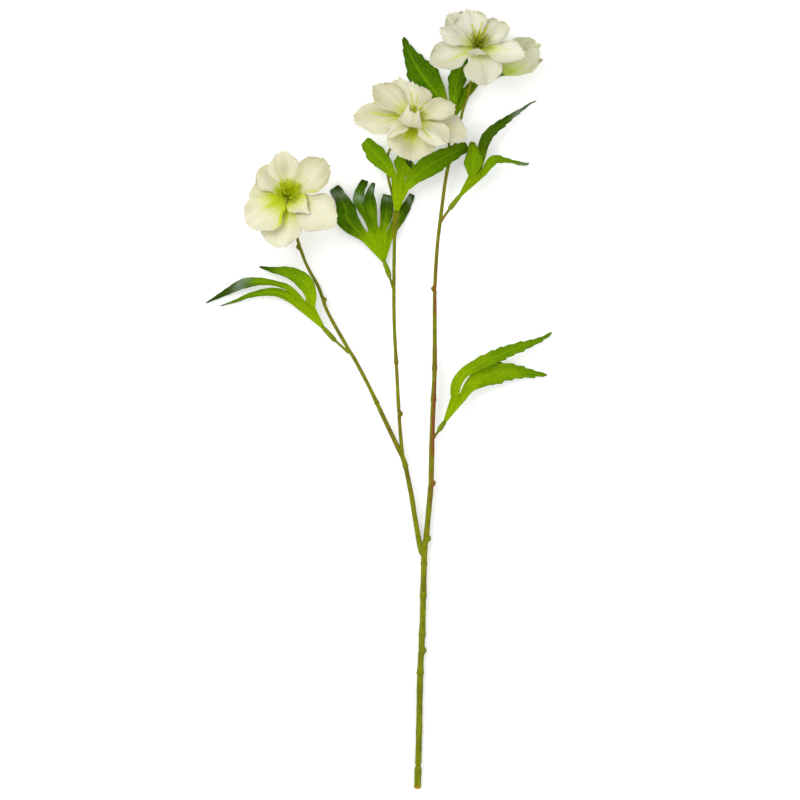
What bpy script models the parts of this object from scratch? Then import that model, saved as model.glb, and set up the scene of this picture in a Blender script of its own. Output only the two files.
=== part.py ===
"""A cut hellebore spray lying on its back, one object for each piece.

Three double flowers and a half-open bud stand on branching stems, with six divided leaves.
The spray runs along +Y from its cut end and +Z is up, away from the surface that it lies on.
Lengths and positions are in millimetres counted from the cut end, scaled by MM where a mesh
is made, and PLACE moves the whole spray so that the origin is under the centre of its box.
"""

import math
from collections import namedtuple

import bmesh
import bpy
from mathutils import Matrix, Vector

MM = 0.001
GAP = 0.35
LEAF_THICKNESS = 0.9
PETAL_THICKNESS = 0.7
STEM_SIDES = 10
STALK_SIDES = 8

Flower = namedtuple("Flower", "centre axis")
Petal = namedtuple("Petal", "name turn rise fall length width cup lift skew")
Lobe = namedtuple("Lobe", "roll fold line")

LEFT_FLOWER = Flower((-110.0, 501.5, 20.0), (-0.20, 0.34, 0.92))
MIDDLE_FLOWER = Flower((-4.5, 566.0, 34.0), (0.14, 0.66, 0.74))
TOP_FLOWER = Flower((50.5, 628.0, 31.5), (0.02, 0.56, 0.83))
BUD = Flower((74.6, 609.1, 18.4), (0.74, 0.57, 0.36))

for leftover in list(bpy.data.objects):
    bpy.data.objects.remove(leftover)

PLACE = bpy.data.objects.new("hellebore", None)
bpy.context.scene.collection.objects.link(PLACE)


# ---------------------------------------------------------------- curves and meshes


def smooth_curve(points, count=400):
    """count + 1 points, evenly spread along a Catmull-Rom curve through the given points."""
    knots = [Vector(p) for p in points]
    knots = [2 * knots[0] - knots[1]] + knots + [2 * knots[-1] - knots[-2]]
    dense = []
    for before, start, end, after in zip(knots, knots[1:], knots[2:], knots[3:]):
        for step in range(24):
            t = step / 24
            bend = 2 * before - 5 * start + 4 * end - after
            swing = 3 * start - before - 3 * end + after
            dense.append(0.5 * (2 * start + (end - before) * t + bend * t**2 + swing * t**3))
    dense.append(knots[-2])
    lengths = [0.0]
    for a, b in zip(dense, dense[1:]):
        lengths.append(lengths[-1] + (b - a).length)
    spread = []
    index = 0
    for step in range(count + 1):
        distance = lengths[-1] * step / count
        while index < len(dense) - 2 and lengths[index + 1] < distance:
            index += 1
        share = (distance - lengths[index]) / (lengths[index + 1] - lengths[index])
        spread.append(dense[index].lerp(dense[index + 1], share))
    return spread


def tangents(path):
    """The unit direction of a path at each of its points."""
    ends = [path[0]] + list(path) + [path[-1]]
    return [(after - before).normalized() for before, after in zip(ends, ends[2:])]


def eased(profile, share):
    """The value of a list of (share, value) pairs at a share of the length, eased between pairs."""
    for (start, low), (end, high) in zip(profile, profile[1:]):
        if share <= end:
            t = (share - start) / (end - start)
            return low + (high - low) * t * t * (3 - 2 * t)
    return profile[-1][1]


def mesh_object(name, points, faces, material):
    """A mesh object from points in millimetres, its faces pointing outwards."""
    mesh = bpy.data.meshes.new(name)
    mesh.from_pydata([Vector(p) * MM for p in points], [], faces)
    shape = bmesh.new()
    shape.from_mesh(mesh)
    bmesh.ops.recalc_face_normals(shape, faces=shape.faces)
    shape.to_mesh(mesh)
    shape.free()
    mesh.shade_smooth()
    mesh.materials.append(material)
    made = bpy.data.objects.new(name, mesh)
    bpy.context.scene.collection.objects.link(made)
    made.parent = PLACE
    return made


def grid_faces(rows, columns, first=0):
    """Quads between rows + 1 lines of columns + 1 points, counted from a first point."""
    faces = []
    for row in range(rows):
        for column in range(columns):
            a = first + row * (columns + 1) + column
            faces.append((a, a + 1, a + columns + 2, a + columns + 1))
    return faces


def thicken(sheet, thickness):
    """Gives an open sheet its thickness, half on each side."""
    wall = sheet.modifiers.new("Thickness", "SOLIDIFY")
    wall.thickness = thickness * MM
    wall.offset = 0
    return sheet


def finish(name, colour, roughness):
    """A plain Principled material."""
    made = bpy.data.materials.new(name)
    made.use_nodes = True
    shader = made.node_tree.nodes["Principled BSDF"]
    shader.inputs["Base Color"].default_value = (*colour, 1)
    shader.inputs["Roughness"].default_value = roughness
    shader.inputs["Metallic"].default_value = 0
    return made


STEM_GREEN = finish("stem_green", (0.19, 0.22, 0.02), 0.55)
LEAF_GREEN = finish("leaf_green", (0.10, 0.30, 0.01), 0.45)
LEAF_DARK = finish("leaf_dark", (0.03, 0.10, 0.01), 0.4)
PETAL_CREAM = finish("petal_cream", (0.84, 0.82, 0.66), 0.7)
CENTRE_YELLOW = finish("centre_yellow", (0.50, 0.52, 0.02), 0.6)


# ---------------------------------------------------------------- stems and stalks


def tube(name, path, radii, sides, material):
    """A closed tube with a ring of points round each point of the path."""
    points, faces = [], []
    directions = tangents(path)
    across = directions[0].cross(Vector((0.3, 0.2, 1))).normalized()
    for centre, direction, radius in zip(path, directions, radii):
        across = (across - across.dot(direction) * direction).normalized()
        over = direction.cross(across)
        for side in range(sides):
            angle = 2 * math.pi * side / sides
            points.append(centre + radius * (math.cos(angle) * across + math.sin(angle) * over))
    for ring in range(len(path) - 1):
        for side in range(sides):
            a = ring * sides + side
            b = ring * sides + (side + 1) % sides
            faces.append((a, b, b + sides, a + sides))
    faces.append(tuple(reversed(range(sides))))
    faces.append(tuple(range(len(points) - sides, len(points))))
    return mesh_object(name, points, faces, material)


def stem(name, points, profile, collars=(), knobs=(), spacing=14, sides=STEM_SIDES, extra=0.0):
    """A stem along a curve: its radius follows the profile, each collar is a thin swollen ring
    and each knob, a (share, side) pair, swells to one side. extra grows the whole stem."""
    line = smooth_curve(points)
    length = sum((b - a).length for a, b in zip(line, line[1:]))
    count = max(3, round(length / spacing))
    half = 1.5 / length
    special = sorted(list(collars) + [share for share, _ in knobs])
    shares = [i / count for i in range(count + 1)]
    shares = [s for s in shares if s in (0, 1) or all(abs(s - c) > 2.5 * half for c in special)]
    shares += [share + step * half for share in special for step in (-1, 0, 1)]
    shares += [s for s, _ in profile[1:-1] if all(abs(s - t) > 1.2 * half for t in shares)]
    path, radii = [], []
    for share in sorted(shares):
        centre = line[round(share * 400)].copy()
        radius = eased(profile, share) + extra
        if share in collars:
            radius += 0.5
        for knob, side in knobs:
            if share == knob:
                radius += 0.7
                centre.x += 1.0 * side
        path.append(centre)
        radii.append(radius)
    return tube(name, path, radii, sides, STEM_GREEN)


def cutter(shape):
    """Makes a shape into a hidden cutter."""
    shape.hide_render = True
    shape.display_type = "WIRE"
    shape.data.materials.clear()
    return shape


def cut_by(shape, cutters):
    """Cuts cutters away from a shape, so that it starts at their surface."""
    for tool in cutters:
        cut = shape.modifiers.new("Root", "BOOLEAN")
        cut.operation = "DIFFERENCE"
        cut.solver = "EXACT"
        cut.object = tool
    return shape


MAIN_LINE = [
    (-0.4, -1.2, 3.0), (0.8, 50, 3.4), (2.0, 96, 3.9), (3.4, 130, 4.4), (4.3, 163, 4.9),
    (5.1, 187, 5.3), (5.7, 203, 5.6), (7.3, 215, 5.9), (9.4, 240, 6.5), (10.8, 258, 6.9),
    (11.9, 293, 7.7), (13.1, 329, 8.5), (13.9, 355, 9.0), (14.2, 391, 9.8), (14.5, 427, 10.5),
    (16.2, 459, 11.1), (18.7, 481, 11.5), (23.5, 516, 12.2), (27.3, 533, 12.5), (31.5, 546, 12.8),
    (34.0, 558, 13.1), (38.0, 575.5, 13.6), (41.7, 586, 14.0),
]
MAIN_PROFILE = [
    (0, 2.85), (0.035, 2.8), (0.05, 2.55), (0.34, 2.5), (0.42, 2.3), (0.8, 1.5), (1, 1.2),
]
MAIN_COLLARS = (0.165, 0.22, 0.276, 0.323, 0.56, 0.605)
MAIN_KNOBS = ((0.198, 1), (0.36, 1), (0.44, 1), (0.72, -1))
LEFT_LINE = [
    (5.4, 196, 5.5), (2.3, 201.5, 5.7), (-2.0, 226, 6.2), (-5.4, 247.5, 6.6), (-9.7, 268, 7.0),
    (-12.3, 278, 7.2), (-17.0, 288, 7.4), (-22.2, 299, 7.6), (-29.0, 313.5, 7.9),
    (-40.8, 339, 8.3), (-53.5, 363, 8.7), (-59.3, 372.3, 8.9), (-76.5, 403, 9.3),
    (-84.0, 424, 9.5), (-91.0, 437, 9.6), (-96.0, 447, 9.6), (-103.0, 467, 9.4),
    (-106.0, 482, 9.0), (-107.2, 491, 8.6), (-107.8, 497.0, 9.6), (-108.5, 498.9, 13.0),
]
LEFT_PROFILE = [
    (0, 2.1), (0.3, 1.9), (0.5, 1.5), (0.965, 1.25), (0.978, 1.25), (0.99, 1.25), (1, 1.3),
]
LEFT_COLLARS = (0.24, 0.42)
LEFT_KNOBS = ((0.72, 1), (0.87, -1))
MIDDLE_LINE = [
    (-11.0, 274, 7.1), (-13.0, 281, 7.5), (-15.0, 303, 8.0), (-16.2, 320, 8.4), (-17.8, 346, 8.8),
    (-20.0, 389, 9.4), (-20.4, 434, 10.0), (-20.2, 466, 10.4), (-20.0, 475, 10.5),
    (-18.6, 487, 10.8), (-18.0, 492, 11.0),
]
MIDDLE_PROFILE = [(0, 1.5), (0.5, 1.4), (0.88, 1.4), (0.91, 2.3), (0.97, 2.7), (1, 2.5)]
MIDDLE_COLLARS = (0.4,)
MIDDLE_KNOBS = ((0.2, 1),)

stem("main_stem", MAIN_LINE, MAIN_PROFILE, MAIN_COLLARS, MAIN_KNOBS)
left_stem = stem("left_stem", LEFT_LINE, LEFT_PROFILE, LEFT_COLLARS, LEFT_KNOBS)
middle_stem = stem("middle_stem", MIDDLE_LINE, MIDDLE_PROFILE, MIDDLE_COLLARS, MIDDLE_KNOBS)

# Each room is a stem grown by the gap: what springs from that stem is cut away along it.
main_room = cutter(stem("main_room", MAIN_LINE, MAIN_PROFILE, MAIN_COLLARS, MAIN_KNOBS, extra=GAP))
left_room = cutter(stem("left_room", LEFT_LINE, LEFT_PROFILE, LEFT_COLLARS, LEFT_KNOBS, extra=GAP))
middle_room = cutter(
    stem("middle_room", MIDDLE_LINE, MIDDLE_PROFILE, MIDDLE_COLLARS, MIDDLE_KNOBS, extra=GAP))
cut_by(left_stem, [main_room])
cut_by(middle_stem, [left_room])

PEDICEL_PROFILE = [(0, 1.2), (0.8, 1.05), (1, 1.3)]
BUD_PEDICEL_PROFILE = [(0, 1.0), (0.8, 0.9), (1, 1.2)]


def unit(vector):
    return Vector(vector).normalized()


def foot(flower, distance):
    """A point behind a flower, on its axis."""
    return Vector(flower.centre) - unit(flower.axis) * distance


stem("middle_pedicel",
     [(-18.0, 492.6, 11.0), (-21.5, 503, 11.0), (-25.0, 517, 12.2), (-26.4, 532, 15.0),
      (-23.0, 543, 17.5), (-13.0, 550.5, 19.0), foot(MIDDLE_FLOWER, 11.5),
      foot(MIDDLE_FLOWER, 7.4)],
     PEDICEL_PROFILE, spacing=8, sides=STALK_SIDES)
stem("top_pedicel",
     [(42.0, 586.8, 14.2), (43.6, 593, 15.0), (45.6, 603, 17.2), foot(TOP_FLOWER, 12.0),
      foot(TOP_FLOWER, 7.4)],
     PEDICEL_PROFILE, spacing=7, sides=STALK_SIDES)
cut_by(stem("bud_pedicel",
            [(43.5, 588.0, 12.6), (46.6, 591.4, 12.4), (51.0, 597, 12.8), (55.5, 600.5, 13.6),
             foot(BUD, 12), foot(BUD, 7.4)],
            BUD_PEDICEL_PROFILE, spacing=7, sides=STALK_SIDES), [main_room])


def stalk(name, points, roots):
    """A leaf stalk with the swollen sleeve at its end, cut away where it leaves its stem."""
    profile = [(0, 1.0), (0.45, 0.95), (0.6, 1.9), (0.9, 1.8), (1, 1.5)]
    return cut_by(stem(name, points, profile, spacing=7, sides=STALK_SIDES), roots)


# ---------------------------------------------------------------- leaves


def between(values, place):
    """The value at a fractional place in a list."""
    index = min(int(place), len(values) - 2)
    return values[index] + (values[index + 1] - values[index]) * (place - index)


def leaf(name, neck, lobes, material, columns=4, step=7.0):
    """One divided leaf as a single sheet. A palm fans out from the neck, and each lobe goes on
    from its share of the palm's far edge. A lobe's line holds x, y, z and half its width."""
    starts = [Vector(lobe.line[0][:3]) for lobe in lobes]
    corners = [(a + b) / 2 for a, b in zip(starts, starts[1:])]
    corners = [2 * starts[0] - corners[0]] + corners + [2 * starts[-1] - corners[-1]]
    far_edge = []
    for start, near, far in zip(starts, corners, corners[1:]):
        for column in range(columns):
            t = 2 * column / columns
            far_edge.append(near.lerp(start, t) if t < 1 else start.lerp(far, t - 1))
    far_edge.append(corners[-1])
    total = len(far_edge) - 1
    points = []
    for row in range(PALM_ROWS + 1):
        for column, far in enumerate(far_edge):
            near = neck[0].lerp(neck[1], column / total)
            points.append(near.lerp(far, row / PALM_ROWS))
    faces = grid_faces(PALM_ROWS, total)
    for index, lobe in enumerate(lobes):
        line = smooth_curve([p[:3] for p in lobe.line])
        widths = [p[3] for p in lobe.line]
        directions = tangents(line)
        length = sum((b - a).length for a, b in zip(line, line[1:]))
        rows = max(4, round(length / step))
        across = corners[index + 1] - corners[index]
        base = across.length / 2
        first = PALM_ROWS * (total + 1) + index * columns
        previous = list(range(first, first + columns + 1))
        for row in range(1, rows + 1):
            share = row / rows
            at = round(share * 400)
            direction = directions[at]
            across = (across - across.dot(direction) * direction).normalized()
            turned = Matrix.Rotation(math.radians(lobe.roll * share), 3, direction) @ across
            over = direction.cross(turned)
            if row == 1:
                upright = 1 if over.z > 0 else -1
            over = over * upright
            half = between(widths, share * (len(widths) - 1))
            half += (base - half) * max(0, 1 - share / 0.25) * 0.5
            ring = []
            for column in range(columns + 1):
                t = 2 * column / columns - 1
                points.append(line[at] + (turned * t + over * (lobe.fold * abs(t))) * half)
                ring.append(len(points) - 1)
            for a, b, c, d in zip(previous, previous[1:], ring[1:], ring):
                faces.append((a, b, c, d))
            previous = ring
    return thicken(mesh_object(name, points, faces, material), LEAF_THICKNESS)


def neck_at(end, before, width=3.0):
    """The two ends of a leaf's narrow base, GAP past the end of its stalk."""
    direction = unit(Vector(end) - Vector(before))
    side = direction.cross(Vector((0, 0, 1))).normalized() * (-width / 2)
    start = Vector(end) + direction * (GAP + 0.1)
    return (start + side, start - side)


PALM_ROWS = 3

LEFT_STALK = [
    (-58.9, 369.2, 8.9), (-65.0, 374.5, 9.6), (-72.0, 381.0, 10.6), (-76.5, 386.0, 11.2),
    (-81.0, 391.0, 11.8),
]
RIGHT_STALK = [(12.0, 295.0, 7.8), (15.0, 299.5, 8.6), (19.5, 306.0, 9.8), (23.0, 311.0, 10.6)]
UPPER_STALK = [
    (18.4, 479.0, 11.4), (22.0, 484.5, 12.0), (26.0, 490.0, 12.8), (30.0, 495.5, 13.6),
    (36.5, 503.5, 14.6),
]
LOWER_STALK = [(-20.2, 421.0, 9.8), (-23.4, 430.5, 9.0), (-26.0, 439.0, 7.8), (-29.0, 447.0, 6.8)]
BACK_STALK = [
    (27.3, 533.0, 12.5), (26.8, 541.0, 10.2), (26.4, 549.0, 8.6), (26.2, 557.0, 7.8),
    (26.4, 563.5, 7.4),
]

stalk("left_leaf_stalk", LEFT_STALK, [left_room])
stalk("right_leaf_stalk", RIGHT_STALK, [main_room])
stalk("upper_leaf_stalk", UPPER_STALK, [main_room])
stalk("lower_leaf_stalk", LOWER_STALK, [middle_room])
stalk("back_leaf_stalk", BACK_STALK, [main_room])

leaf("left_leaf", neck_at(LEFT_STALK[-1], LEFT_STALK[-2]), [
    Lobe(0, -0.15, [
        (-98.0, 406.0, 12, 2.5), (-109.0, 415.5, 12.2, 3.7), (-120.0, 420.5, 10.6, 3.8),
        (-131.5, 420.5, 8.6, 3.2), (-145.0, 417.5, 5.5, 2.1), (-154.5, 413.5, 3.2, 1.3),
        (-169.0, 409.0, 1.5, 0.3)]),
    Lobe(0, -0.25, [
        (-97.5, 412.0, 13, 2.5), (-109.0, 423.0, 15, 3.2), (-118.0, 427.0, 14.5, 2.8),
        (-127.0, 429.0, 13, 2.4), (-137.5, 429.5, 11, 3.0), (-149.5, 427.5, 8, 4.5),
        (-162.5, 421.0, 4.5, 3.7), (-181.0, 411.5, 1.5, 0.4)]),
    Lobe(0, 0.15, [
        (-90.8, 409.0, 14, 4.3), (-91.0, 418.0, 16, 5.4), (-94.5, 427.0, 17, 7.4),
        (-101.5, 433.5, 15.5, 6.0), (-111.5, 438.0, 12, 3.8), (-123.0, 439.6, 7, 2.1),
        (-135.0, 442.5, 2, 0.7)]),
], LEAF_GREEN)

leaf("right_leaf", neck_at(RIGHT_STALK[-1], RIGHT_STALK[-2]), [
    Lobe(0, 0.12, [
        (31.0, 331.5, 13, 4.2), (32.5, 342.5, 15, 5.1), (39.0, 352.0, 16, 4.6),
        (51.5, 359.5, 16, 4.8), (62.5, 364.5, 15, 5.5), (75.5, 370.0, 12, 5.8),
        (88.0, 374.5, 9, 5.8), (98.0, 378.0, 6, 5.4), (107.0, 382.0, 3, 4.2),
        (114.0, 386.5, 1.5, 0.9)]),
    Lobe(0, 0.12, [
        (36.5, 329.0, 12, 3.4), (43.0, 339.5, 11.5, 4.8), (51.5, 346.5, 10.8, 6.8),
        (61.5, 350.8, 9.5, 8.3), (75.5, 353.0, 7, 9.2), (88.0, 352.5, 4.5, 9.4),
        (97.5, 351.6, 3, 7.2), (103.5, 351.2, 2, 4.6), (110.0, 350.3, 1.2, 0.8)]),
], LEAF_GREEN)

leaf("upper_leaf", neck_at(UPPER_STALK[-1], UPPER_STALK[-2]), [
    Lobe(0, 0.1, [
        (45.6, 520.0, 17, 4.6), (46.6, 529.0, 20, 6.4), (47.0, 536.0, 22, 8.8),
        (46.6, 542.5, 21, 5.8), (46.2, 548.0, 18, 1.8)]),
    Lobe(0, 0.35, [
        (51.0, 521.0, 16, 2.1), (54.0, 536.0, 14, 3.0), (55.5, 545.5, 13, 4.2),
        (60.0, 554.5, 12, 4.7), (67.0, 561.0, 11, 4.4), (74.5, 566.5, 9, 3.8),
        (82.0, 572.0, 7, 2.9), (89.5, 577.0, 5, 1.6), (95.5, 581.5, 3, 0.8),
        (101.0, 584.0, 1.2, 0.3)]),
    Lobe(0, 0.1, [
        (55.0, 520.0, 16, 2.5), (60.0, 528.5, 18, 3.9), (65.0, 533.0, 18, 4.1),
        (71.0, 533.0, 15, 2.9), (79.0, 532.0, 10, 1.7), (86.5, 530.5, 5, 1.6),
        (92.0, 530.0, 2, 1.8), (94.5, 531.0, 1.2, 0.8)]),
], LEAF_GREEN)

leaf("lower_leaf", neck_at(LOWER_STALK[-1], LOWER_STALK[-2]), [
    Lobe(0, 0.06, [
        (-44.6, 467.4, 6, 4.2), (-52.0, 473.7, 6.5, 7.4), (-57.5, 479.5, 6.5, 9.3),
        (-60.5, 484.3, 6.2, 9.8), (-61.2, 490.5, 5.6, 6.4), (-64.4, 498.4, 4.4, 5.5),
        (-69.0, 506.0, 2.4, 5.6), (-71.5, 510.0, 1.4, 4.6)]),
    Lobe(0, 0.06, [
        (-40.0, 475.0, 7.6, 2.2), (-42.3, 481.0, 9.5, 2.8), (-44.8, 487.0, 10.4, 3.4),
        (-48.3, 494.5, 10.6, 4.5), (-50.4, 500.5, 10.2, 5.4), (-49.6, 506.5, 8.4, 4.2),
        (-47.0, 512.0, 6.2, 3.8), (-45.0, 516.0, 4.6, 3.2)]),
    Lobe(0, 0.06, [
        (-36.6, 476.0, 8.6, 2.4), (-38.2, 484.0, 12, 3.2), (-40.0, 493.0, 14.6, 4.5),
        (-41.0, 501.0, 15, 5.2), (-39.8, 508.0, 13.2, 4.0), (-37.6, 513.6, 11, 1.6)]),
    Lobe(0, 0.06, [
        (-29.8, 475.0, 6.5, 3.4), (-27.9, 481.0, 5.6, 5.0), (-26.9, 488.0, 4.8, 5.6),
        (-26.5, 495.0, 4, 5.8), (-26.3, 500.0, 3.2, 5.6), (-25.8, 503.8, 2.2, 4.4)]),
    Lobe(0, 0.06, [
        (-24.2, 469.8, 5, 3.2), (-20.2, 476.5, 3.8, 4.3), (-15.7, 484.3, 3, 4.8),
        (-10.5, 493.0, 2.6, 4.8), (-6.5, 500.0, 2, 4.2), (-4.8, 504.3, 1.2, 2.4)]),
], LEAF_DARK)

leaf("whorl_leaf", (Vector((-20.4, 489.5, 14.3)), Vector((-16.4, 489.5, 14.3))), [
    Lobe(0, 0.1, [
        (-20.4, 518.5, 16.5, 3.4), (-26.5, 527.5, 17.5, 6.4), (-34.0, 536.0, 17, 8.0),
        (-40.5, 543.5, 15, 8.0), (-45.5, 549.0, 12.5, 4.6)]),
    Lobe(0, 0.1, [
        (-15.0, 517.0, 17, 3.4), (-12.8, 524.5, 18.2, 5.2), (-11.5, 530.5, 20, 7.6),
        (-10.5, 534.5, 23, 9.0), (-8.5, 532.5, 26, 8.0), (-5.5, 525.0, 27, 0.7)]),
    Lobe(0, 0.1, [
        (-10.3, 510.5, 16.5, 4.6), (-1.5, 519.5, 17, 8.0), (9.0, 527.5, 17, 9.3),
        (20.5, 534.0, 16.5, 9.0), (30.0, 539.0, 16.5, 7.8), (37.0, 542.3, 15.5, 6.2),
        (42.0, 545.0, 14.5, 4.0)]),
], LEAF_GREEN)

leaf("back_leaf", neck_at(BACK_STALK[-1], BACK_STALK[-2]), [
    Lobe(0, 0.1, [
        (23.5, 574.0, 7.2, 3.4), (18.5, 585.5, 6.6, 7.6), (8.5, 599.0, 7, 11.2),
        (0.0, 611.0, 7, 13.6), (-6.0, 622.0, 6, 11.9), (-10.0, 631.5, 3.2, 6.4),
        (-12.0, 638.5, 1.4, 0.8)]),
    Lobe(0, 0.08, [
        (29.5, 577.5, 7.5, 3.1), (31.5, 590.5, 7.5, 4.8), (33.5, 602.5, 7, 7.0),
        (36.5, 614.5, 5.5, 7.6), (39.0, 623.0, 4, 3.8)]),
    Lobe(0, 0.1, [
        (35.0, 577.5, 6.8, 2.7), (38.5, 587.0, 6, 3.4), (43.5, 594.5, 5, 4.2),
        (49.0, 599.0, 4, 3.9), (56.0, 601.0, 2, 0.7)]),
], LEAF_DARK)


# ---------------------------------------------------------------- flowers


def flower_frame(flower):
    """The centre of a flower, its axis and the two directions across it: the first points to
    the right, and for a flower lying on its side it points up."""
    axis = unit(flower.axis)
    towards = Vector((1, 0, 0)) if abs(axis.x) < 0.7 else Vector((0, 0, 1))
    right = (towards - towards.dot(axis) * axis).normalized()
    return Vector(flower.centre), axis, right, axis.cross(right)


PETAL_ROWS = 7
PETAL_COLUMNS = 6
PETAL_OUTLINE = [(0, 0.2), (0.3, 0.55), (0.68, 1.0), (0.88, 0.97), (1, 0.72)]
BUD_OUTLINE = [(0, 0.3), (0.25, 0.85), (0.55, 1.0), (0.85, 0.85), (1, 0.55)]


def petal(flower, spec, outline=PETAL_OUTLINE):
    """A petal as a bent and cupped sheet. It leaves the centre at the angle rise above the
    flower's own plane and ends at the angle fall."""
    centre, axis, right, up = flower_frame(flower)
    turn = math.radians(spec.turn)
    out = math.cos(turn) * right + math.sin(turn) * up
    side = axis.cross(out)
    fine = 60
    line = [centre + out * BASE_RADIUS + axis * spec.lift]
    leans = []
    for step in range(fine + 1):
        share = step / fine
        lean = math.radians(spec.rise + (spec.fall - spec.rise) * share**1.4)
        leans.append(lean)
        ahead = math.cos(lean) * out + math.sin(lean) * axis
        line.append(line[-1] + ahead * spec.length / fine)
    points = []
    for row in range(PETAL_ROWS + 1):
        share = row / PETAL_ROWS
        half = spec.width / 2 * eased(outline, share)
        cup = math.radians(spec.cup) * (1 - 0.55 * share)
        for column in range(PETAL_COLUMNS + 1):
            t = 2 * column / PETAL_COLUMNS - 1
            off = abs(t - spec.skew) / (1 + abs(spec.skew))
            reach = share * (1 - 0.2 * off**2.4)
            place = min(fine, reach * fine)
            lean = between(leans, place)
            inward = math.cos(lean) * axis - math.sin(lean) * out
            bend = cup * t
            flat = half * (math.sin(bend) / cup if abs(cup) > 0.01 else t)
            raised = half * ((1 - math.cos(bend)) / cup if abs(cup) > 0.01 else 0)
            points.append(between(line, place) + side * flat + inward * raised)
    shape = mesh_object(spec.name, points, grid_faces(PETAL_ROWS, PETAL_COLUMNS), PETAL_CREAM)
    return thicken(shape, PETAL_THICKNESS)


BASE_RADIUS = 4.6
RECEPTACLE = [(-7.0, 1.5), (-6.2, 2.2), (-3.6, 3.4), (-1.0, 3.9), (1.8, 3.8), (3.2, 3.0)]


def receptacle(name, flower, sides=12):
    """The swollen end of a flower's stalk, which its petals and stamens stand on."""
    centre, axis, _, _ = flower_frame(flower)
    path = [centre + axis * height for height, _ in RECEPTACLE]
    return tube(name, path, [radius for _, radius in RECEPTACLE], sides, STEM_GREEN)


def stamens(name, flower, lean, length, hidden=None, count=16):
    """A ring of stamens: a low collar with a thin filament drawn out of each of its top faces."""
    centre, axis, right, up = flower_frame(flower)
    inner, outer = 1.9, 3.4
    low, high = 3.2 + GAP, 4.6
    points, faces = [], []
    for radius, height in ((outer, low), (outer, high), (inner, high), (inner, low)):
        for index in range(count):
            angle = 2 * math.pi * index / count
            points.append(centre + axis * height
                          + radius * (math.cos(angle) * right + math.sin(angle) * up))
    for ring in range(4):
        for index in range(count):
            a = ring * count + index
            b = ring * count + (index + 1) % count
            c, d = ((b + count) % (4 * count), (a + count) % (4 * count))
            if ring != 1:
                faces.append((a, b, c, d))
                continue
            angle = 2 * math.pi * (index + 0.5) / count
            out = math.cos(angle) * right + math.sin(angle) * up
            tip_lean = lean
            if hidden is not None:
                off = abs((math.degrees(angle) - hidden + 180) % 360 - 180)
                tip_lean = lean + (82 - lean) * max(0, 1 - off / 75)
            tip_lean = math.radians(tip_lean)
            reach = length * (1 if index % 2 else 0.8)
            corners = [points[v] for v in (a, b, c, d)]
            middle = sum(corners, Vector()) / 4
            previous = [a, b, c, d]
            ahead = math.cos(tip_lean) * out + math.sin(tip_lean) * axis
            for share, size in ((0.25, 0.62), (1.0, 0.45)):
                start = len(points)
                for corner in corners:
                    points.append(middle + (corner - middle) * size + ahead * (reach * share))
                ring_now = list(range(start, start + 4))
                for k in range(4):
                    faces.append((previous[k], previous[(k + 1) % 4],
                                  ring_now[(k + 1) % 4], ring_now[k]))
                previous = ring_now
            faces.append(tuple(previous))
    return mesh_object(name, points, faces, CENTRE_YELLOW)


def pistil(name, flower, styles):
    """The pistil: a small hexagonal ovary whose top is drawn out into three long styles, given
    as (turn, lean, length)."""
    centre, axis, right, up = flower_frame(flower)
    points, faces = [], []
    for height in (3.2 + GAP, 5.2):
        for index in range(6):
            angle = math.pi * index / 3 + math.radians(styles[0][0] - 60)
            points.append(centre + axis * height
                          + 1.45 * (math.cos(angle) * right + math.sin(angle) * up))
    for index in range(6):
        faces.append((index, (index + 1) % 6, (index + 1) % 6 + 6, index + 6))
    faces.append((5, 4, 3, 2, 1, 0))
    hub = len(points)
    points.append(centre + axis * 5.2)
    for index, (turn, lean, length) in enumerate(styles):
        start = 2 * index
        base = [hub, 6 + start, 6 + (start + 1) % 6, 6 + (start + 2) % 6]
        turn, lean = math.radians(turn), math.radians(lean)
        out = math.cos(turn) * right + math.sin(turn) * up
        ahead = math.cos(lean) * out + math.sin(lean) * axis
        corners = [points[v] for v in base]
        middle = sum(corners, Vector()) / 4
        previous = base
        for share, size in ((0.2, 0.55), (0.9, 0.45), (1.0, 0.6)):
            first = len(points)
            for corner in corners:
                points.append(middle + (corner - middle) * size + ahead * (length * share))
            now = list(range(first, first + 4))
            for k in range(4):
                faces.append((previous[k], previous[(k + 1) % 4], now[(k + 1) % 4], now[k]))
            previous = now
        faces.append(tuple(previous))
    return mesh_object(name, points, faces, CENTRE_YELLOW)


for flower_name, flower in (("left", LEFT_FLOWER), ("middle", MIDDLE_FLOWER), ("top", TOP_FLOWER),
                            ("bud", BUD)):
    receptacle(flower_name + "_receptacle", flower)

stamens("left_stamens", LEFT_FLOWER, 42, 11)
stamens("middle_stamens", MIDDLE_FLOWER, 52, 10, hidden=265)
stamens("top_stamens", TOP_FLOWER, 52, 10, hidden=270)
pistil("left_pistil", LEFT_FLOWER, [(120, 55, 9), (240, 75, 7), (0, 75, 7)])
pistil("middle_pistil", MIDDLE_FLOWER, [(108, 45, 20.5), (80, 45, 19), (30, 45, 17)])
pistil("top_pistil", TOP_FLOWER, [(118, 45, 18), (76, 45, 18.8), (48, 45, 19)])

for spec in (
    Petal("left_petal_upper_left", 133, 14, -2, 32, 25, 22, -0.9, 0),
    Petal("left_petal_top", 96, 23, 8, 34, 27, 25, 0.6, 0),
    Petal("left_petal_upper_right", 27, 29, 20, 43, 34, 46, 0, 0),
    Petal("left_petal_lower_right", 322, 18, 0, 50, 37, 24, -0.4, 0),
    Petal("left_petal_inner", 312, 27, 8, 24, 20, 25, 2.2, 0),
    Petal("left_petal_bottom", 260, 12, -8, 43, 36, 20, -1.2, 0),
    Petal("left_petal_lower_left", 225, 28, 6, 41, 37, 25, 0.8, 0),
    Petal("left_petal_left", 168, 8, -6, 30, 30, 24, -2.1, 0),
):
    petal(LEFT_FLOWER, spec)

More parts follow.
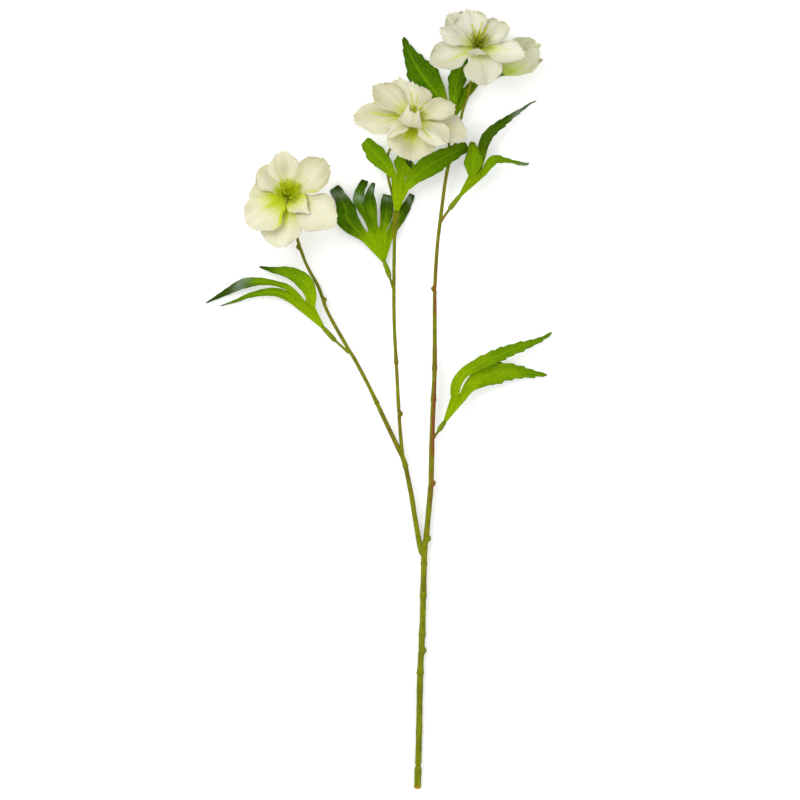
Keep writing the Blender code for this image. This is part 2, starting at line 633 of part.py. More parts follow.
for spec in (
    Petal("middle_petal_top", 98, 16, 12, 34, 38, 25, -1, 0.6),
    Petal("middle_petal_upper_left", 148, 24, 12, 39, 31, 30, 0.6, 0),
    Petal("middle_petal_left", 190, 8, -6, 46, 38, 22, -0.6, 0),
    Petal("middle_petal_lower_left", 233, 12, 0, 31, 18, 32, 1.2, 0),
    Petal("middle_petal_bottom", 268, 2, -40, 34.5, 42, 15, -2, 0),
    Petal("middle_petal_inner", 256, 4, 140, 34, 21, 22, 3.7, 0),
    Petal("middle_petal_lower_right", 311, 15, -10, 36, 29, 30, 0.6, 0),
    Petal("middle_petal_right", 347, 6, -12, 42, 35, 18, -2.1, 0),
    Petal("middle_petal_upper_right", 14, 24, 12, 32, 27, 34, 1.3, 0),
):
    petal(MIDDLE_FLOWER, spec)

for spec in (
    Petal("top_petal_top", 106, 18, 8, 30, 29, 26, 0.2, 0),
    Petal("top_petal_behind", 62, 8, 2, 28, 16, 20, -1, 0),
    Petal("top_petal_upper_left", 127, 14, 2, 35, 28, 20, -1.4, 0),
    Petal("top_petal_left", 166, 26, 10, 31, 21, 25, 0.6, 0),
    Petal("top_petal_lower_left", 209, 14, -6, 41, 31, 20, -0.8, 0),
    Petal("top_petal_bottom", 280, 8, -45, 33, 33, 15, -0.8, 0),
    Petal("top_petal_inner", 265, 6, 120, 21, 18, 24, 2, 0),
    Petal("top_petal_right", 329, 24, 12, 41.5, 26, 20, 0.2, 0),
    Petal("top_petal_upper_right", 25, 32, 24, 27, 23, 38, 0.6, 0),
):
    petal(TOP_FLOWER, spec)

for spec in (
    Petal("bud_petal_front", 39, 63, 124, 40, 34, 60, -3, 0),
    Petal("bud_petal_upper", 200, 47, 98, 34.6, 32, 50, 0.2, 0),
    Petal("bud_petal_under", 150, 36, 90, 34, 14, 60, -2.5, 0),
    Petal("bud_petal_behind", 170, 84, 95, 35, 12, 50, 1.8, 0),
    Petal("bud_petal_inner", 295, 80, 91, 25, 11, 50, 1.2, 0),
):
    petal(BUD, spec, BUD_OUTLINE)


# ---------------------------------------------------------------- where the spray stands

bpy.context.view_layer.update()
graph = bpy.context.evaluated_depsgraph_get()
low = Vector((1e9, 1e9, 1e9))
high = -low
for shape in bpy.context.scene.objects:
    if shape.type != "MESH" or shape.hide_render:
        continue
    for vertex in shape.evaluated_get(graph).to_mesh().vertices:
        low = Vector(map(min, low, vertex.co))
        high = Vector(map(max, high, vertex.co))
PLACE.location = (-(low.x + high.x) / 2, -(low.y + high.y) / 2, -low.z)
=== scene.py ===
import math
import random

import bpy
from mathutils import Matrix, Vector


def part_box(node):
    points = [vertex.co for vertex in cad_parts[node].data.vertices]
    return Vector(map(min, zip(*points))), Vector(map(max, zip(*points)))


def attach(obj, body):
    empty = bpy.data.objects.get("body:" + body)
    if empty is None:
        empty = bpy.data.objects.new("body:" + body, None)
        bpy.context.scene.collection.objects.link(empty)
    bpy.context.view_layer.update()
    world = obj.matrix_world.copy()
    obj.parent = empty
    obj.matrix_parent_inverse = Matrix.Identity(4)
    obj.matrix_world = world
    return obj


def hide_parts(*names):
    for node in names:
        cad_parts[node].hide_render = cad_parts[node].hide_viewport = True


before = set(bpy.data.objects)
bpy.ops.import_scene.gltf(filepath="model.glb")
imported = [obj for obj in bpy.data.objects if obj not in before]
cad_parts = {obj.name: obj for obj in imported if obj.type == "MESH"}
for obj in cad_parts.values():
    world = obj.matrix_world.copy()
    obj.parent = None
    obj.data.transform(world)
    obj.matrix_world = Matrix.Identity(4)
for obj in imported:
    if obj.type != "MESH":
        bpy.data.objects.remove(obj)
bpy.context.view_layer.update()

# ---------------------------------------------------------------- main stem
# The main stem runs from the cut end up to the top flower: olive green, lightly ribbed lengthwise,
# with a ring at each joint and small knobs where leaves once stood. It is one moulded length with
# a slanted, tan cut face, and everything else springs from it.

MM = 0.001
CUT_CORNER = Vector((-3.1324, -1.2695, 0.1511))  # the stem's lowest corner, from its cut centre
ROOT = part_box("main_stem")[0] - CUT_CORNER * MM
LINE_STEPS = 400  # parts of every smooth curve
FULL_TURN = 6.28  # a wave starts anywhere in it


def placed(point):
    """A point in millimetres from the cut end's centre, as a point in the frame."""
    return ROOT + Vector(point) * MM


def length_of(line):
    """How long a line of Vectors is."""
    return sum((b - a).length for a, b in zip(line, line[1:]))


def between(values, place):
    """The value at a fractional place in a list."""
    index = min(int(place), len(values) - 2)
    return values[index] + (values[index + 1] - values[index]) * (place - index)


def smooth_curve(points, parts=24):
    """LINE_STEPS + 1 points, evenly spread along a smooth curve through the given points."""
    knots = [Vector(p) for p in points]
    knots = [2 * knots[0] - knots[1]] + knots + [2 * knots[-1] - knots[-2]]
    dense = []
    for before, start, end, after in zip(knots, knots[1:], knots[2:], knots[3:]):
        bend = 2 * before - 5 * start + 4 * end - after
        swing = 3 * start - before - 3 * end + after
        for t in (step / parts for step in range(parts)):
            dense.append(0.5 * (2 * start + (end - before) * t + bend * t**2 + swing * t**3))
    dense.append(knots[-2])
    lengths = [0.0]
    for a, b in zip(dense, dense[1:]):
        lengths.append(lengths[-1] + (b - a).length)
    spread = []
    index = 0
    for step in range(LINE_STEPS + 1):
        distance = lengths[-1] * step / LINE_STEPS
        while index < len(dense) - 2 and lengths[index + 1] < distance:
            index += 1
        share = (distance - lengths[index]) / (lengths[index + 1] - lengths[index])
        spread.append(dense[index].lerp(dense[index + 1], share))
    return spread


def eased(profile, share):
    """The value of a list of (share, value) pairs at a share of the length, eased between pairs."""
    for (start, low), (end, high) in zip(profile, profile[1:]):
        if share <= end:
            t = (share - start) / (end - start)
            return low + (high - low) * t * t * (3 - 2 * t)
    return profile[-1][1]


class Wire:
    """What comes out of a node. wire["X"] is another output of the same node, and a sum with a
    wire adds its Math node to the tree."""

    def __init__(self, made, output=0):
        self.made = made
        self.output = output

    def __getitem__(self, output):
        return Wire(self.made, output)

    def maths(self, operation, other=None):
        inputs = {0: self} if other is None else {0: self, 1: other}
        return node(self.made.id_data, "ShaderNodeMath", inputs, operation=operation)

    def __add__(self, other):
        return self.maths("ADD", other)

    def __sub__(self, other):
        return self.maths("SUBTRACT", other)

    def __mul__(self, other):
        return self.maths("MULTIPLY", other)

    def __rtruediv__(self, other):
        return node(self.made.id_data, "ShaderNodeMath", {0: other, 1: self}, operation="DIVIDE")


def fill(made, inputs):
    """Gives a node's inputs, by name or number, their plain values, wires or lists of wires."""
    for name, value in inputs.items():
        for source in value if isinstance(value, list) else [value]:
            if isinstance(source, Wire):
                made.id_data.links.new(source.made.outputs[source.output], made.inputs[name])
            else:
                made.inputs[name].default_value = source


def node(tree, kind, inputs=None, **settings):
    """Adds a node with its settings and inputs, and gives the wire out of it."""
    made = tree.nodes.new(kind)
    for setting, value in settings.items():
        setattr(made, setting, value)
    fill(made, inputs or {})
    return Wire(made)


def new_group(name, kind, inputs, output, output_kind):
    """An empty node group and the wires of its inputs. Each input is named with its plain value,
    or with its kind where it has none."""
    tree = bpy.data.node_groups.new(name, kind)
    kinds = {int: "Int", float: "Float"}
    for label, value in inputs.items():
        plain = not isinstance(value, str)
        socket = tree.interface.new_socket(
            name=label, in_out="INPUT",
            socket_type="NodeSocket" + (kinds[type(value)] if plain else value))
        if plain:
            socket.default_value = value
    tree.interface.new_socket(name=output, in_out="OUTPUT",
                              socket_type="NodeSocket" + output_kind)
    return tree, node(tree, "NodeGroupInput")


def scaled(vector, share):
    """A vector wire made longer or shorter."""
    return node(vector.made.id_data, "ShaderNodeVectorMath", {0: vector, "Scale": share},
                operation="SCALE")


def end_geometry(tree, geometry, finish):
    """Ends a geometry tree in smooth, real geometry with its finish on."""
    smooth = node(tree, "GeometryNodeSetShadeSmooth", {0: geometry})
    whole = node(tree, "GeometryNodeRealizeInstances", {0: smooth})
    coat = node(tree, "GeometryNodeSetMaterial", {"Geometry": whole, "Material": finish})
    node(tree, "NodeGroupOutput", {0: coat})


def stem_skin_tree():
    """The stem's skin: a ribbed ring drawn along each line, as thick as it says, with grain."""
    tree, given = new_group("stem_skin", "GeometryNodeTree", {
        "Lines": "Geometry", "Sides": 24, "Ribs": 7, "Rib Depth": 0.05, "Grain Depth": 0.0001,
        "Grain Size": 0.002, "Finish": "Material"}, "Skin", "Geometry")
    ring = node(tree, "GeometryNodeCurvePrimitiveCircle",
                {"Radius": 1, "Resolution": given["Sides"]}, mode="RADIUS")
    place = node(tree, "GeometryNodeInputPosition")
    kept = node(tree, "GeometryNodeStoreNamedAttribute",
                {"Name": "ring", "Geometry": ring, "Value": place}, data_type="FLOAT_VECTOR")
    parts = node(tree, "ShaderNodeSeparateXYZ", {0: place})
    angle = parts["Y"].maths("ARCTAN2", parts["X"])
    wave = (angle * given["Ribs"]).maths("COSINE") * given["Rib Depth"]
    ribbed = node(tree, "GeometryNodeSetPosition",
                  {"Geometry": kept, "Offset": scaled(place, wave)})
    lines = node(tree, "GeometryNodeMeshToCurve", {"Mesh": given["Lines"]})
    thickness = node(tree, "GeometryNodeInputNamedAttribute", {"Name": "thickness"},
                     data_type="FLOAT")
    drawn = node(tree, "GeometryNodeCurveToMesh", {
        "Curve": lines, "Profile Curve": ribbed, "Scale": thickness, "Fill Caps": True})
    grain = node(tree, "ShaderNodeTexNoise", {"Detail": 3, "Scale": 1 / given["Grain Size"]})
    rise = (grain["Fac"] - 0.5) * given["Grain Depth"]
    normal = node(tree, "GeometryNodeInputNormal")
    grained = node(tree, "GeometryNodeSetPosition",
                   {"Geometry": drawn, "Offset": scaled(normal, rise)})
    end_geometry(tree, grained, given["Finish"])
    return tree


STEM_SKIN = stem_skin_tree()


def new_object(name, data):
    """Puts a new object into the scene."""
    made = bpy.data.objects.new(name, data)
    bpy.context.scene.collection.objects.link(made)
    return made


def finished_mesh(guide, tree, inputs):
    """Runs a geometry tree on a guide object and keeps the result as its plain mesh."""
    grown = guide.modifiers.new("grown", "NODES")
    grown.node_group = tree
    for item in tree.interface.items_tree:
        if item.in_out == "INPUT" and item.name in inputs:
            grown[item.identifier] = inputs[item.name]
    bpy.context.view_layer.update()
    result = bpy.data.meshes.new_from_object(
        guide.evaluated_get(bpy.context.evaluated_depsgraph_get()))
    guide.modifiers.clear()
    guide.data = result


def mark(mesh, values):
    """Keeps named values for the points of a mesh, which its finish reads."""
    for label, numbers in values.items():
        mesh.attributes.new(label, "FLOAT", "POINT").data.foreach_set("value", numbers)


def hand_over(piece, replaced):
    """Fixes a piece to the one body and says which solid it is drawn for."""
    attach(piece, "root")
    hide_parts(replaced)


CUT_LENGTH = 0.08  # millimetres of a line that count as its cut face
SHARP_EDGE = math.radians(50)


def grow(name, lines, finish, replaced, skin, slant=0.0):
    """A stem-like piece from its lines. Each line is a list of (point, thickness, blush), with
    thickness the half width in millimetres and blush how red the skin is there. skin is (sides,
    ribs, rib depth, grain depth, grain size), the last two in millimetres. slant tips its cut
    face back, so that the face looks partly up."""
    points, edges = [], []
    values = {"thickness": [], "blush": [], "along": []}
    for line in lines:
        first = len(points)
        run = 0.0
        for index, (point, width, blush) in enumerate(line):
            if index:
                run += (Vector(point) - Vector(line[index - 1][0])).length
                edges.append((first + index - 1, first + index))
            points.append(placed(point))
            for label, value in zip(values, (width * MM, blush, run)):
                values[label].append(value)
    mesh = bpy.data.meshes.new(name)
    mesh.from_pydata(points, edges, [])
    mark(mesh, values)
    piece = new_object(name, mesh)
    sides, ribs, rib_depth, grain_depth, grain_size = skin
    finished_mesh(piece, STEM_SKIN, {
        "Finish": finish, "Sides": sides, "Ribs": ribs, "Rib Depth": rib_depth,
        "Grain Depth": grain_depth * MM, "Grain Size": grain_size * MM})
    along = piece.data.attributes["along"].data
    for vertex in piece.data.vertices:
        if along[vertex.index].value < CUT_LENGTH:
            vertex.co.y += slant * (vertex.co.z - points[0].z)
    piece.data.set_sharp_from_angle(angle=SHARP_EDGE)
    hand_over(piece, replaced)


def end_mask(tree, contrast, noise):
    """Ends an effect group in noise with more contrast, held between 0 and 1."""
    made = node(tree, "ShaderNodeTexNoise", noise)
    held = node(tree, "ShaderNodeClamp", {"Value": (made["Fac"] - 0.5) * contrast + 0.5})
    node(tree, "NodeGroupOutput", {0: held})
    return tree


def streak_group():
    """Fine streaks that run lengthwise: noise over a pattern that is drawn out that way."""
    tree, given = new_group("lengthwise_streaks", "ShaderNodeTree", {
        "Pattern": "Vector", "Fineness": 10.0, "Contrast": 1.0}, "Streak", "Float")
    return end_mask(tree, given["Contrast"], {
        "Vector": given["Pattern"], "Scale": given["Fineness"], "Detail": 4, "Roughness": 0.6})


def blotch_group():
    """Soft, uneven patches over the whole piece, as in dyed and moulded plant parts."""
    tree, given = new_group("soft_blotches", "ShaderNodeTree", {
        "Size": 0.01, "Contrast": 1.0}, "Blotch", "Float")
    place = node(tree, "ShaderNodeTexCoord")["Object"]
    return end_mask(tree, given["Contrast"], {
        "Vector": place, "Scale": 1 / given["Size"], "Detail": 2})


STREAKS = streak_group()
BLOTCHES = blotch_group()


def streaks(tree, pattern, fineness, contrast):
    """The lengthwise streaks as a mask in a finish."""
    return node(tree, "ShaderNodeGroup", {
        "Pattern": pattern, "Fineness": fineness, "Contrast": contrast}, node_tree=STREAKS)


def blotches(tree, size, contrast):
    """The soft blotches as a mask in a finish, with their size in metres."""
    return node(tree, "ShaderNodeGroup", {"Size": size, "Contrast": contrast},
                node_tree=BLOTCHES)


def attribute(tree, name, output="Fac"):
    """A value that the mesh keeps for each of its points."""
    return node(tree, "ShaderNodeAttribute", attribute_name=name)[output]


def layered(colour, *layers):
    """A colour with others laid over it in turn. A layer is its share and its colour, and each
    colour is plain or a wire."""
    for share, over in layers:
        under, over = [c if isinstance(c, Wire) else (*c, 1) for c in (colour, over)]
        colour = node(share.made.id_data, "ShaderNodeMix", {0: share, 6: under, 7: over},
                      data_type="RGBA")[2]
    return colour


def ramp(value, low, high):
    """0 below low and 1 above high, eased between."""
    return node(value.made.id_data, "ShaderNodeMapRange",
                {"Value": value, "From Min": low, "From Max": high},
                interpolation_type="SMOOTHSTEP")


def new_finish(name, roughness, specular=0.5):
    """A new material, its node tree and its Principled shader."""
    made = bpy.data.materials.new(name)
    made.use_nodes = True
    shader = made.node_tree.nodes["Principled BSDF"]
    fill(shader, {"Roughness": roughness, "Specular IOR Level": specular})
    return made, made.node_tree, shader


def bump(shader, height, distance, strength):
    """Raises a finish by a mask."""
    fill(shader, {"Normal": node(shader.id_data, "ShaderNodeBump", {
        "Strength": strength, "Distance": distance, "Height": height})})


STEM_RED = (0.27, 0.085, 0.025)
CUT_TAN = (0.60, 0.33, 0.0)


def stem_finish(name, light, middle, dark):
    """Ribbed stem skin: lengthwise streaks of light and dark green, red-brown on the right where
    it blushes, and a tan cut face at the very start of a line."""
    made, tree, shader = new_finish(name, 0.5, 0.08)
    along = attribute(tree, "along")
    ring = node(tree, "ShaderNodeSeparateXYZ", {0: attribute(tree, "ring", "Vector")})
    lengthwise = node(tree, "ShaderNodeCombineXYZ", {
        "X": ring["X"], "Y": ring["Y"], "Z": along * 0.05})
    streak = streaks(tree, lengthwise, 2.2, 2.6)
    fine = streaks(tree, lengthwise, 7, 2.4)
    normal = node(tree, "ShaderNodeNewGeometry")["True Normal"]
    right_side = ramp(node(tree, "ShaderNodeSeparateXYZ", {0: normal})["X"], -0.8, 0.3)
    patches = blotches(tree, 0.028, 5.0) * ramp(streak, 0.15, 0.6)
    colour = layered(
        middle, (streak, light), (ramp(fine, 0.45, 0.8) * 0.75, dark),
        (blotches(tree, 0.0022, 4.0) * 0.35, light), (blotches(tree, 0.012, 3.0) * 0.45, dark),
        (right_side * attribute(tree, "blush") * patches, STEM_RED),
        (along.maths("LESS_THAN", CUT_LENGTH), CUT_TAN))
    fill(shader, {"Base Color": colour, "Roughness": fine * 0.25 + 0.38})
    bump(shader, fine, 0.0004, 0.6)
    return made


STEM_FINISH = stem_finish("stem_green", (0.34, 0.38, 0.008), (0.20, 0.236, 0.003),
                          (0.065, 0.07, 0.001))
SWELLS = ((0.025, 6.3), (0.02, 2.7))  # slow and quick changes of a stem's thickness
SWAY, SWAY_REACH = 0.16, 17
RING_HEIGHT, RING_LENGTH = 0.55, 0.9
COLLAR_HEIGHT, COLLAR_LENGTH, COLLAR_SHIFT = 0.22, 2.6, 2.2  # past a ring
KNOB_HEIGHT, KNOB_LENGTH, KNOB_SHIFT = 0.9, 1.5, 1.2


def hump(off, length):
    """1 at the middle of a rounded swelling, and nearly 0 twice its length away."""
    return math.exp(-((off / length) ** 2))


def stem_line(points, profile, rings=(), knobs=(), blush=(), spacing=1.3, seed="stem"):
    """A stem's line with its thickness. A ring is a thin, swollen rim with a softer collar past
    it, and a knob, a (share, side) pair, swells to one side. blush holds (share, amount) pairs."""
    line = smooth_curve(points)
    length = length_of(line)
    count = max(8, round(length / spacing))
    chance = random.Random(seed)
    phases = [chance.uniform(0, FULL_TURN) for _ in range(3)]
    made = []
    for step in range(count + 1):
        share = step / count
        distance = share * length
        centre = between(line, share * LINE_STEPS)
        width = eased(profile, share)
        width *= 1 + sum(swell * math.sin(distance / reach + phase)
                         for (swell, reach), phase in zip(SWELLS, phases))
        centre.x += SWAY * math.sin(distance / SWAY_REACH + phases[2])
        for ring in rings:
            off = (share - ring) * length
            width += RING_HEIGHT * hump(off, RING_LENGTH)
            width += COLLAR_HEIGHT * hump(off - COLLAR_SHIFT, COLLAR_LENGTH)
        for knob, side in knobs:
            swell = hump((share - knob) * length, KNOB_LENGTH)
            width += KNOB_HEIGHT * swell
            centre.x += KNOB_SHIFT * side * swell
        made.append((centre, width, eased(blush, share) if blush else 0.0))
    return made


MAIN_LINE = [
    (-0.4, -1.2, 3), (0.8, 50, 3.4), (2, 96, 3.9), (3.4, 130, 4.4), (4.3, 163, 4.9),
    (5.1, 187, 5.3), (5.7, 203, 5.6), (7.3, 215, 5.9), (9.4, 240, 6.5), (10.8, 258, 6.9),
    (11.9, 293, 7.7), (13.1, 329, 8.5), (13.9, 355, 9), (14.2, 391, 9.8), (14.5, 427, 10.5),
    (16.2, 459, 11.1), (18.7, 481, 11.5), (23.5, 516, 12.2), (27.3, 533, 12.5),
    (31.5, 546, 12.8), (34, 558, 13.1), (38, 575.5, 13.6), (41.7, 586, 14),
]
MAIN_PROFILE = [
    (0, 2.85), (0.028, 2.85), (0.0315, 2), (0.035, 2.75), (0.06, 2.6), (0.34, 2.5),
    (0.42, 2.3), (0.8, 1.5), (1, 1.2),
]
MAIN_RINGS = (0.165, 0.22, 0.276, 0.323, 0.56, 0.605)
MAIN_KNOBS = ((0.198, 1), (0.36, 1), (0.44, 1), (0.72, -1))
MAIN_BLUSH = [(0, 0), (0.32, 0.15), (0.43, 0.9), (0.46, 1.5), (0.54, 1.5), (0.6, 1.3),
              (0.7, 1.2), (0.8, 0.7), (0.9, 0.5), (1, 0.4)]
main_line = stem_line(MAIN_LINE, MAIN_PROFILE, MAIN_RINGS, MAIN_KNOBS, MAIN_BLUSH, seed="main")
grow("main_stem_skin", [main_line], STEM_FINISH, "main_stem", (28, 7, 0.06, 0.36, 2.1),
     slant=0.55)

# ---------------------------------------------------------------- side stems
# Two side stems carry the left and middle flowers. They are moulded with the main stem, thinner
# and smoother than it, and each leaves its parent at a slightly swollen fork.

LEFT_LINE = [
    (5.4, 196, 5.5), (2.3, 201.5, 5.7), (-2, 226, 6.2), (-5.4, 247.5, 6.6),
    (-9.7, 268, 7), (-12.3, 278, 7.2), (-17, 288, 7.4), (-22.2, 299, 7.6),
    (-29, 313.5, 7.9), (-40.8, 339, 8.3), (-53.5, 363, 8.7), (-59.3, 372.3, 8.9),
    (-76.5, 403, 9.3), (-84, 424, 9.5), (-91, 437, 9.6), (-96, 447, 9.6),
    (-103, 467, 9.4), (-106, 482, 9), (-107.2, 491, 8.6), (-107.8, 497, 9.6),
    (-108.5, 498.9, 13),
]
LEFT_PROFILE = [(0, 2.1), (0.3, 1.9), (0.5, 1.5), (0.965, 1.25), (1, 1.3)]
LEFT_BLUSH = [(0, 0.1), (0.25, 0.35), (0.6, 0.45), (0.75, 0.2), (1, 0.1)]
MIDDLE_LINE = [
    (-11, 274, 7.1), (-13, 281, 7.5), (-15, 303, 8), (-16.2, 320, 8.4),
    (-17.8, 346, 8.8), (-20, 389, 9.4), (-20.4, 434, 10), (-20.2, 466, 10.4),
    (-20, 475, 10.5), (-18.6, 487, 10.8), (-18, 492, 11),
]
MIDDLE_PROFILE = [(0, 1.5), (0.5, 1.4), (0.88, 1.4), (0.91, 2.3), (0.97, 2.7), (1, 2.5)]
MIDDLE_BLUSH = [(0, 0.3), (0.3, 0.5), (0.6, 0.3), (0.8, 0), (1, 0)]
left_line = stem_line(LEFT_LINE, LEFT_PROFILE, (0.24, 0.42), ((0.72, 1), (0.87, -1)),
                      LEFT_BLUSH, seed="left")
middle_line = stem_line(MIDDLE_LINE, MIDDLE_PROFILE, (0.4,), ((0.2, 1),), MIDDLE_BLUSH,
                        seed="middle")
grow("left_stem_skin", [left_line], STEM_FINISH, "left_stem", (24, 6, 0.05, 0.26, 1.8))
grow("middle_stem_skin", [middle_line], STEM_FINISH, "middle_stem", (24, 6, 0.05, 0.24, 1.8))

# ---------------------------------------------------------------- flower stalks
# A thin, round stalk joins each upper flower to its stem: the middle one bends out from under the
# leaf whorl, the top one and the bud's part from the end of the main stem. Each runs into the
# swollen end that its flower stands on.

LEFT_FLOWER = (Vector((-110.0, 501.5, 20.0)), Vector((-0.20, 0.34, 0.92)).normalized())
MIDDLE_FLOWER = (Vector((-4.5, 566.0, 34.0)), Vector((0.14, 0.66, 0.74)).normalized())
TOP_FLOWER = (Vector((50.5, 628.0, 31.5)), Vector((0.02, 0.56, 0.83)).normalized())
BUD = (Vector((74.6, 609.1, 18.4)), Vector((0.737, 0.568, 0.365)).normalized())


def foot(flower, distance):
    """A point behind a flower, on its axis."""
    centre, axis = flower
    return tuple(centre - axis * distance)


FLOWER_STALKS = {
    "middle_pedicel": (
        [(-18, 490, 11), (-21.5, 503, 11), (-25, 517, 12.2), (-26.4, 532, 15),
         (-23, 543, 17.5), (-13, 550.5, 19), foot(MIDDLE_FLOWER, 11.5),
         foot(MIDDLE_FLOWER, 5)],
        [(0, 1.2), (0.8, 1.05), (1, 1.5)]),
    "top_pedicel": (
        [(41.3, 585, 14), (43.6, 593, 15), (45.6, 603, 17.2), foot(TOP_FLOWER, 12),
         foot(TOP_FLOWER, 5)],
        [(0, 1.2), (0.8, 1.05), (1, 1.5)]),
    "bud_pedicel": (
        [(42.5, 587, 13), (46.6, 591.4, 12.4), (51, 597, 12.8), (55.5, 600.5, 13.6),
         foot(BUD, 12), foot(BUD, 5)],
        [(0, 1), (0.8, 0.9), (1, 1.3)]),
}
for name, (points, profile) in FLOWER_STALKS.items():
    stalk_line = stem_line(points, profile, blush=[(0, 0.5), (1, 0.2)], seed=name)
    grow(name + "_skin", [stalk_line], STEM_FINISH, name, (18, 5, 0.03, 0.1, 1.2))

# ---------------------------------------------------------------- leaf stalks
# Each leaf has its own short stalk, thin where it leaves the stem and ending in a swollen green
# sleeve that grips the narrow base of the leaf.

LEAF_STALKS = {
    "left_leaf": [
        (-58.9, 369.2, 8.9), (-65, 374.5, 9.6), (-72, 381, 10.6), (-76.5, 386, 11.2),
        (-81, 391, 11.8)],
    "right_leaf": [
        (12, 295, 7.8), (15, 299.5, 8.6), (19.5, 306, 9.8), (23, 311, 10.6)],
    "upper_leaf": [
        (18.4, 479, 11.4), (22, 484.5, 12), (26, 490, 12.8), (30, 495.5, 13.6),
        (36.5, 503.5, 14.6)],
    "lower_leaf": [
        (-20.2, 421, 9.8), (-23.4, 430.5, 9), (-26, 439, 7.8), (-29, 447, 6.8)],
    "back_leaf": [
        (27.3, 533, 12.5), (26.8, 541, 10.2), (26.4, 549, 8.6), (26.2, 557, 7.8),
        (26.4, 563.5, 7.4)],
}
SLEEVE_PROFILE = [(0, 1.5), (0.25, 1.15), (0.45, 1.05), (0.53, 2.0), (0.64, 2.2),
                  (0.9, 1.95), (1, 1.3)]
STALK_BLUSH = [(0, 2.0), (0.4, 1.5), (0.52, 0.1), (1, 0.0)]
SLEEVE_FINISH = stem_finish("sleeve_green", (0.33, 0.46, 0.008), (0.20, 0.31, 0.005),
                            (0.08, 0.13, 0.003))
for name, points in LEAF_STALKS.items():
    sleeve_line = stem_line(points, SLEEVE_PROFILE, blush=STALK_BLUSH, spacing=0.8, seed=name)
    grow(name + "_sleeve", [sleeve_line], SLEEVE_FINISH, name + "_stalk",
         (20, 5, 0.03, 0.12, 1.2))

# ---------------------------------------------------------------- leaves
# Six divided leaves are cut from one sheet each and pressed with fine parallel veins. A palm fans
# out from the narrow base, and each lobe goes on from it with a folded midrib and a few forward
# teeth towards its tip. The underside is paler.

UP = Vector((0, 0, 1))
LEAF_BASE_WIDTH = 3.0
LEAF_TUCK = 0.4  # how deep a leaf's base sits in its sleeve


def tangents(path):
    """The unit direction of a path at each of its points."""
    ends = [path[0]] + list(path) + [path[-1]]
    return [(after - before).normalized() for before, after in zip(ends, ends[2:])]


def leaf_base(stalk):
    """The two ends of a leaf's narrow base, inside the end of its sleeve."""
    before, end = Vector(stalk[-2]), Vector(stalk[-1])
    direction = (end - before).normalized()
    side = direction.cross(UP).normalized() * (-LEAF_BASE_WIDTH / 2)
    start = end - direction * LEAF_TUCK
    return start + side, start - side


def sheet_piece(name, points, faces, maps, marks, finishes, thickness, replaced):
    """A thin sheet as a piece: its points in millimetres, a pattern map given per point, named
    values per point, and a paler finish on its underside where a second one is given."""
    mesh = bpy.data.meshes.new(name)
    mesh.from_pydata([placed(p) for p in points], [], faces)
    pattern = mesh.uv_layers.new(name="pattern")
    for loop in mesh.loops:
        pattern.data[loop.index].uv = maps[loop.vertex_index]
    mark(mesh, marks)
    mesh.shade_smooth()
    for finish in finishes:
        mesh.materials.append(finish)
    piece = new_object(name, mesh)
    wall = piece.modifiers.new("thickness", "SOLIDIFY")
    wall.thickness = thickness * MM
    wall.offset = 0
    wall.material_offset = len(finishes) - 1
    hand_over(piece, replaced)


def tooth_edge(chance, count):
    """A row of uneven forward teeth, as a function of the place along an edge."""
    depths = [chance.uniform(0.35, 1.0) for _ in range(count + 2)]
    shifts = [chance.uniform(-0.2, 0.2) for _ in range(count + 2)]

    def depth(place):
        tooth = place * count
        index = int(tooth)
        t = tooth - index
        top = 0.72 + shifts[index]
        return depths[index] * (t / top if t < top else (1 - t) / (1 - top))

    return depth


def drawn_pattern(tree, stretch):
    """The sheet's own pattern drawn out lengthwise, and the place along it."""
    place = node(tree, "ShaderNodeSeparateXYZ",
                 {0: node(tree, "ShaderNodeUVMap", uv_map="pattern")})
    drawn = node(tree, "ShaderNodeCombineXYZ", {"X": place["X"], "Y": place["Y"] * stretch})
    return drawn, place["Y"]


# Painted light on the leaves: a dark green painted as shade on lobe tips that turn over, and a pale
# grey-green painted as sheen on the bend before a tip.
LEAF_PAINTED_SHADE = (0.022, 0.055, 0.003)
LEAF_PAINTED_SHEEN = (0.36, 0.46, 0.33)


def leaf_finish(name, base, middle, tip, vein, roughness=0.42):
    """Leaf skin: lime at the base to dark at the tips, with fine parallel veins, side veins that
    slant from a pale rib to the edges, and darker edges. Where the piece says so it has painted
    shade, as on tips that turn over, or a glossy coat with a painted pale sheen, as on the bend
    before a tip."""
    made, tree, shader = new_finish(name, roughness, 0.03)
    drawn, along = drawn_pattern(tree, 0.32)
    veins = streaks(tree, drawn, 13, 3.0)
    broad = streaks(tree, drawn, 4.5, 2.4)
    aside = attribute(tree, "aside")
    shine = attribute(tree, "shine")
    slant = along * 4.2 + aside * -2.6 + blotches(tree, 0.006, 1.4) * 0.5
    gap = (slant.maths("FRACT") - 0.5).maths("ABSOLUTE")
    side_veins = ramp(gap, 0.36, 0.5) * ramp(aside, 1.05, 0.5)
    aged = attribute(tree, "age") + (blotches(tree, 0.015, 2.4) - 0.5) * 0.22
    # The last two layers are painted light: painted shade on tips that turn over, and a painted
    # pale sheen on the bend before a tip.
    colour = layered(
        base, (ramp(aged, 0.0, 0.5), middle), (ramp(aged, 0.45, 1.0), tip), (veins * 0.28, vein),
        (ramp(broad, 0.5, 1.0) * 0.42, tip), (ramp(aside, 0.55, 1.1) * 0.35, tip),
        (side_veins * 0.15, vein), (attribute(tree, "rib") * 0.75, vein),
        (attribute(tree, "dusk") * 0.8, LEAF_PAINTED_SHADE), (shine * (broad * 0.5 + 0.15), LEAF_PAINTED_SHEEN))
    fill(shader, {
        "Base Color": colour, "Roughness": veins * 0.2 + (roughness - 0.08),
        "Coat Roughness": 0.28, "Coat Weight": shine * (broad * 0.9 + 0.4) * 0.5})
    bump(shader, veins * 0.5 - side_veins * 0.6, 0.0006, 0.8)
    return made


